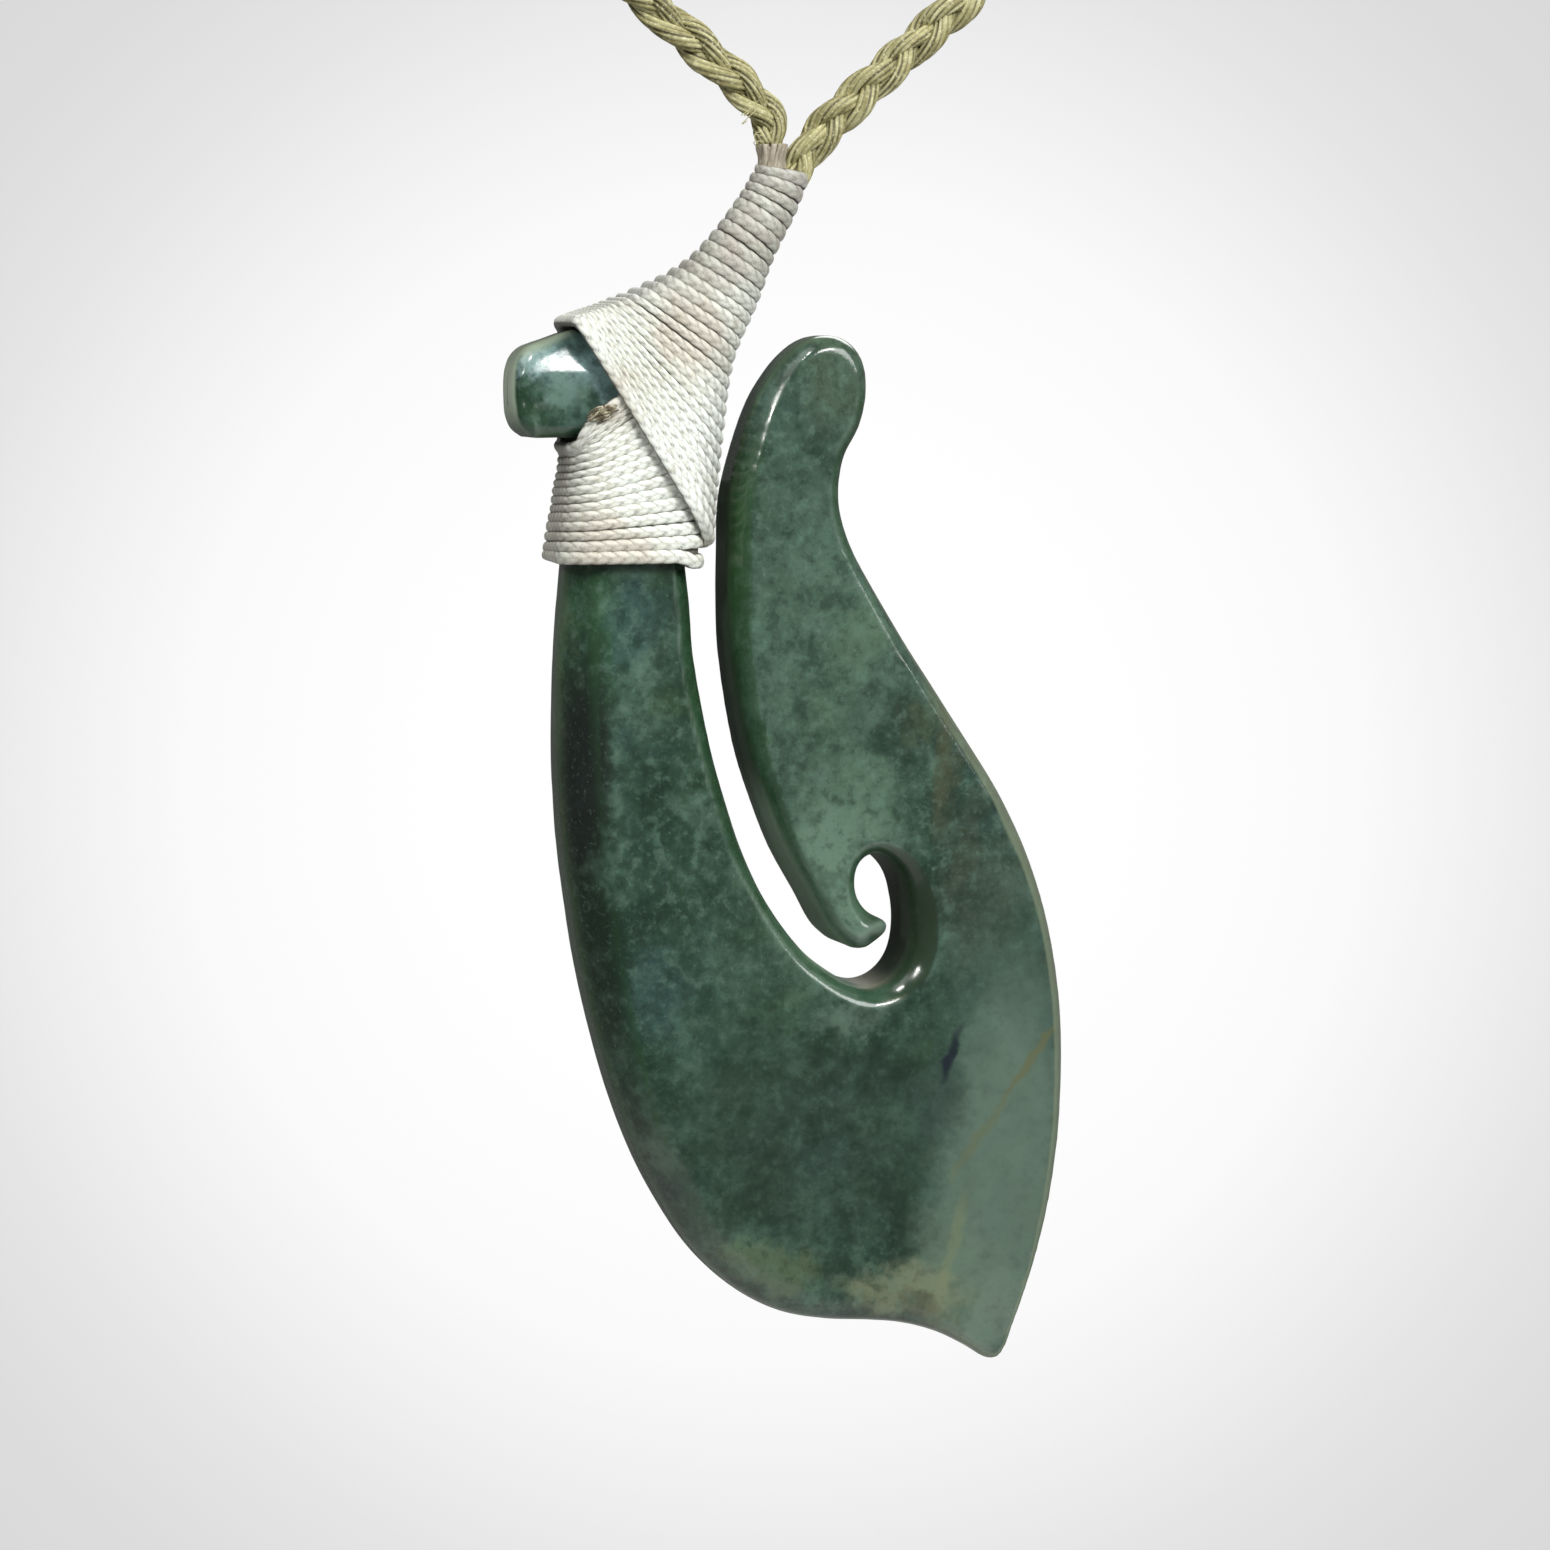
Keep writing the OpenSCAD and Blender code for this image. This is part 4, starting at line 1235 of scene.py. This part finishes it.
def yarn_rings(at, draw):
    """Angles, heights and tints of the yarns that wind round a strand, ring by ring."""
    profile = np.array([0.0, 0.9, 0.9])
    corners = len(profile)
    slip = 0.20 * sway(at, 4.3, draw) + 0.12 * sway(at, 1.9, draw)
    corner = np.arange(YARNS * corners)
    start = 2 * np.pi * (corner / len(corner))
    angles = start[None, :] - (2 * np.pi * at / LAY + slip)[:, None]
    lifts = np.stack([0.10 * sway(at, draw.uniform(0.9, 2.4), draw) for _ in range(YARNS)], 1)
    heights = CREASE * (profile[corner % corners] - 0.75) + lifts[:, corner // corners]
    tints = np.array([draw.uniform(0, 1) for _ in range(YARNS)])
    return angles, heights, tints[corner // corners]


# How far a strand swings across the plait and through it, and its half width and depth, in mm
SWING_ACROSS, SWING_THROUGH, STRAND_WIDE, STRAND_DEEP = 0.88, 0.48, 0.68, 0.54


def build_plait(material):
    """Three strands of twisted yarns, plaited flat over and under each other."""
    line, at, across, depth = cord_line()
    length = at[-1]
    # A plait's period is shorter on the right leg, which is pulled less than the left one, and
    # the plait is tightest at its feet
    places = [0, 5, 12, 60, length - 60, length - 12, length - 5, length]
    period = np.interp(at, places, [9.5, 10.5, 12.4, 12.4, 15.5, 15.0, 12.0, 11.0])
    phase = np.concatenate([[0], np.cumsum(np.diff(at) * 2 * math.pi / period[1:])]) + 0.6
    spread = np.interp(at, [0, 2.5], [0.82, 1.0])
    spread = spread * np.interp(length - at, [0, 1.0, 2.5], [0.66, 0.86, 1.0])
    draw = random.Random(11)
    for strand in range(3):
        turn = phase + strand * 2 * math.pi / 3
        middle = line + across * (SWING_ACROSS * spread * np.sin(turn))[:, None]
        middle = middle + depth * (SWING_THROUGH * spread * np.sin(2 * turn))[:, None]
        ways = unit(np.gradient(middle, axis=0))
        out = unit(depth - (depth * ways).sum(1, keepdims=True) * ways)
        angles, relief, tints = yarn_rings(at, draw)
        uneven = 1 + 0.06 * sway(at, 3.7, draw) + 0.04 * sway(at, 1.7, draw)
        half_side = STRAND_WIDE * uneven * spread**0.5
        bundle = Bundle()
        bundle.add(middle, out, half_side, STRAND_DEEP * uneven, relief, tints, angles)
        mesh = bundle.mesh("plait_strand")
        piece = add_piece(f"plait_strand_{strand + 1}", mesh, material)
        if strand == 0:
            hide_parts("neck_cord")


def cord_material():
    material, graph, shader = new_material("plaited_flax")
    # Each yarn has its own streaks
    tint = graph.stored("tint")
    shifted = graph.math("ADD", graph.stored("along"), graph.times(tint, 97.0))
    stretched = graph.add("ShaderNodeCombineXYZ", {"X": shifted, "Y": tint}).outputs[0]
    colour = graph.ramp(graph.noise(stretched, 0.35, 3.0), [
        (0.32, srgb(116, 108, 66)),
        (0.48, srgb(166, 160, 110)),
        (0.62, srgb(206, 202, 156)),
    ])
    colour = graph.mix(graph.times(tint, 0.45), colour, srgb(122, 116, 68))
    # Painted shade in the creases between the yarns
    colour = graph.tint(colour, graph.stored("relief"), 0.0, -0.22, 0.85, (64, 58, 26))
    fibre = graph.noise(pendant_place(graph), 4.0, 4.0, 0.66)
    colour = graph.tint(colour, fibre, 0.52, 0.70, 0.60, (230, 226, 188))
    colour = graph.tint(colour, fibre, 0.46, 0.30, 0.50, (92, 84, 48))
    # Painted shade on the strands' sides, where they pass under each other
    rise = graph.math("ABSOLUTE", graph.stored("rise"))
    colour = graph.tint(colour, rise, 0.40, 0.05, 0.35, (84, 76, 40))
    feed_fibres(graph, shader, colour, fibre, (0.5, 0.68), 0.05, 0.7)
    return material


def build_collar():
    """The brown-grey root of the left leg: fibres drawn together down into the binding."""
    low, high = [np.array(corner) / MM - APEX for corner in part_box("leg_collar")]
    centre, foot, top = (low + high) / 2, low[2], high[2]
    draw = random.Random(5)
    bundle = Bundle()
    past = 0.35
    heights = np.linspace(foot - past, top + past, 14)
    share = (heights - foot) / (top - foot)
    waist = 1.02 - 0.16 * np.sin(np.pi * np.clip(share, 0, 1))
    # An outer and an inner round of fibres: how many, and how far from the middle, in mm
    for count, reach in ((23, 1.02), (9, 0.55)):
        for k in range(count):
            angle = 2 * math.pi * (k + draw.uniform(-0.2, 0.2)) / count
            lean = 0.25 + draw.uniform(-0.22, 0.22)
            turn = angle + lean * share
            out = np.stack([np.cos(turn), np.sin(turn), 0 * turn], 1)
            path = out * (reach * waist)[:, None] + [centre[0], centre[1], 0]
            path[:, 2] = heights
            size = draw.uniform(0.18, 0.23)
            bundle.add(path, out, size, size, tint=draw.uniform(0, 1))
    lowered, core_r = 0.2, 0.96
    core = np.stack([0 * heights + centre[0], 0 * heights + centre[1], heights - lowered], 1)
    ring = np.linspace(0, 2 * np.pi, 20, endpoint=False)
    bundle.add(core, np.broadcast_to(DEPTH, core.shape), core_r, core_r, turns=ring)
    mesh = bundle.mesh("leg_root_fibres")
    piece = add_piece("leg_root_fibres", mesh, root_material())
    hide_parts("leg_collar")


def root_material():
    material, graph, shader = new_material("root_fibres")
    stretched = graph.vector("MULTIPLY", pendant_place(graph), (3.0, 3.0, 1.2))
    grain = graph.noise(stretched, 1.0, 3.0)
    colour = graph.ramp(grain, [(0.32, srgb(140, 132, 112)), (0.68, srgb(192, 184, 166))])
    colour = graph.mix(graph.times(graph.stored("tint"), 0.5), colour, srgb(148, 132, 116))
    feed_fibres(graph, shader, colour, grain, (0.6, 0.8), 0.04)
    return material


# Loose hairs: how many, and the places of foot, tip and bow, each with how far it varies, in mm
LEG_HAIRS = [
    (3, ((-2.3, -1.0, 4.6), (0.1, 0.3, 0.6)), ((-3.2, -1.1, 4.0), (0.3, 0.3, 0.5)),
     ((-0.5, 0.0, -0.5), (0.2, 0.2, 0.2))),
    (3, ((-1.9, -1.0, 2.3), (0.1, 0.3, 0.5)), ((-2.2, -1.1, 1.6), (0.1, 0.3, 0.3)),
     ((-0.6, 0.0, 0.2), (0.2, 0.2, 0.2))),
]
NOTCH_HAIRS = [
    (40, ((-15.9, -4.1, -19.2), (0.8, 0.3, 0.35)), ((-14.8, -4.2, -18.5), (0.7, 0.3, 0.35)),
     ((0.0, -0.25, 0.1), (0.2, 0.1, 0.25))),
]


def hairs_mesh(name, tufts, thick, draw):
    """Thin bowed hairs, each drawn near the places of its tuft."""
    bundle = Bundle()
    share = np.linspace(0, 1, 12)[:, None]
    for count, *places in tufts:
        for _ in range(count):
            foot, tip, bow = [
                np.array([value + draw.uniform(-reach, reach) for value, reach in zip(*place)])
                for place in places
            ]
            path = foot + (tip - foot) * share + bow * np.sin(math.pi * share) ** 0.8
            bundle.add(path, np.broadcast_to(DEPTH, path.shape), thick, thick)
    return bundle.mesh(name)


def build_loose_fibres(plait):
    """Curled hairs beside the left leg, and the brown fibres tucked under the knob."""
    draw = random.Random(3)
    add_piece("leg_hairs", hairs_mesh("leg_hairs", LEG_HAIRS, 0.035, draw), plait)
    mesh = hairs_mesh("notch_fibres", NOTCH_HAIRS, 0.055, draw)
    add_piece("notch_fibres", mesh, tuft_material())


def tuft_material():
    """Brown fibres, darker than the root and mixed with pale ones."""
    material, graph, shader = new_material("notch_fibres")
    grain = graph.noise(pendant_place(graph), 1.6, 3.0)
    tone = graph.ramp(grain, [
        (0.38, srgb(70, 60, 42)),
        (0.52, srgb(120, 110, 84)),
        (0.62, srgb(190, 184, 160)),
    ])
    graph.feed(shader.inputs["Base Color"], tone)
    graph.feed(shader.inputs["Roughness"], graph.fade(grain, 0.3, 0.7, 0.6, 0.8))
    return material


bpy.context.scene.view_settings.view_transform = "Standard"
build_world(place_camera())
build_lights()
build_floor()
build_stone()
build_threads()
flax = cord_material()
build_plait(flax)
build_collar()
build_loose_fibres(flax)
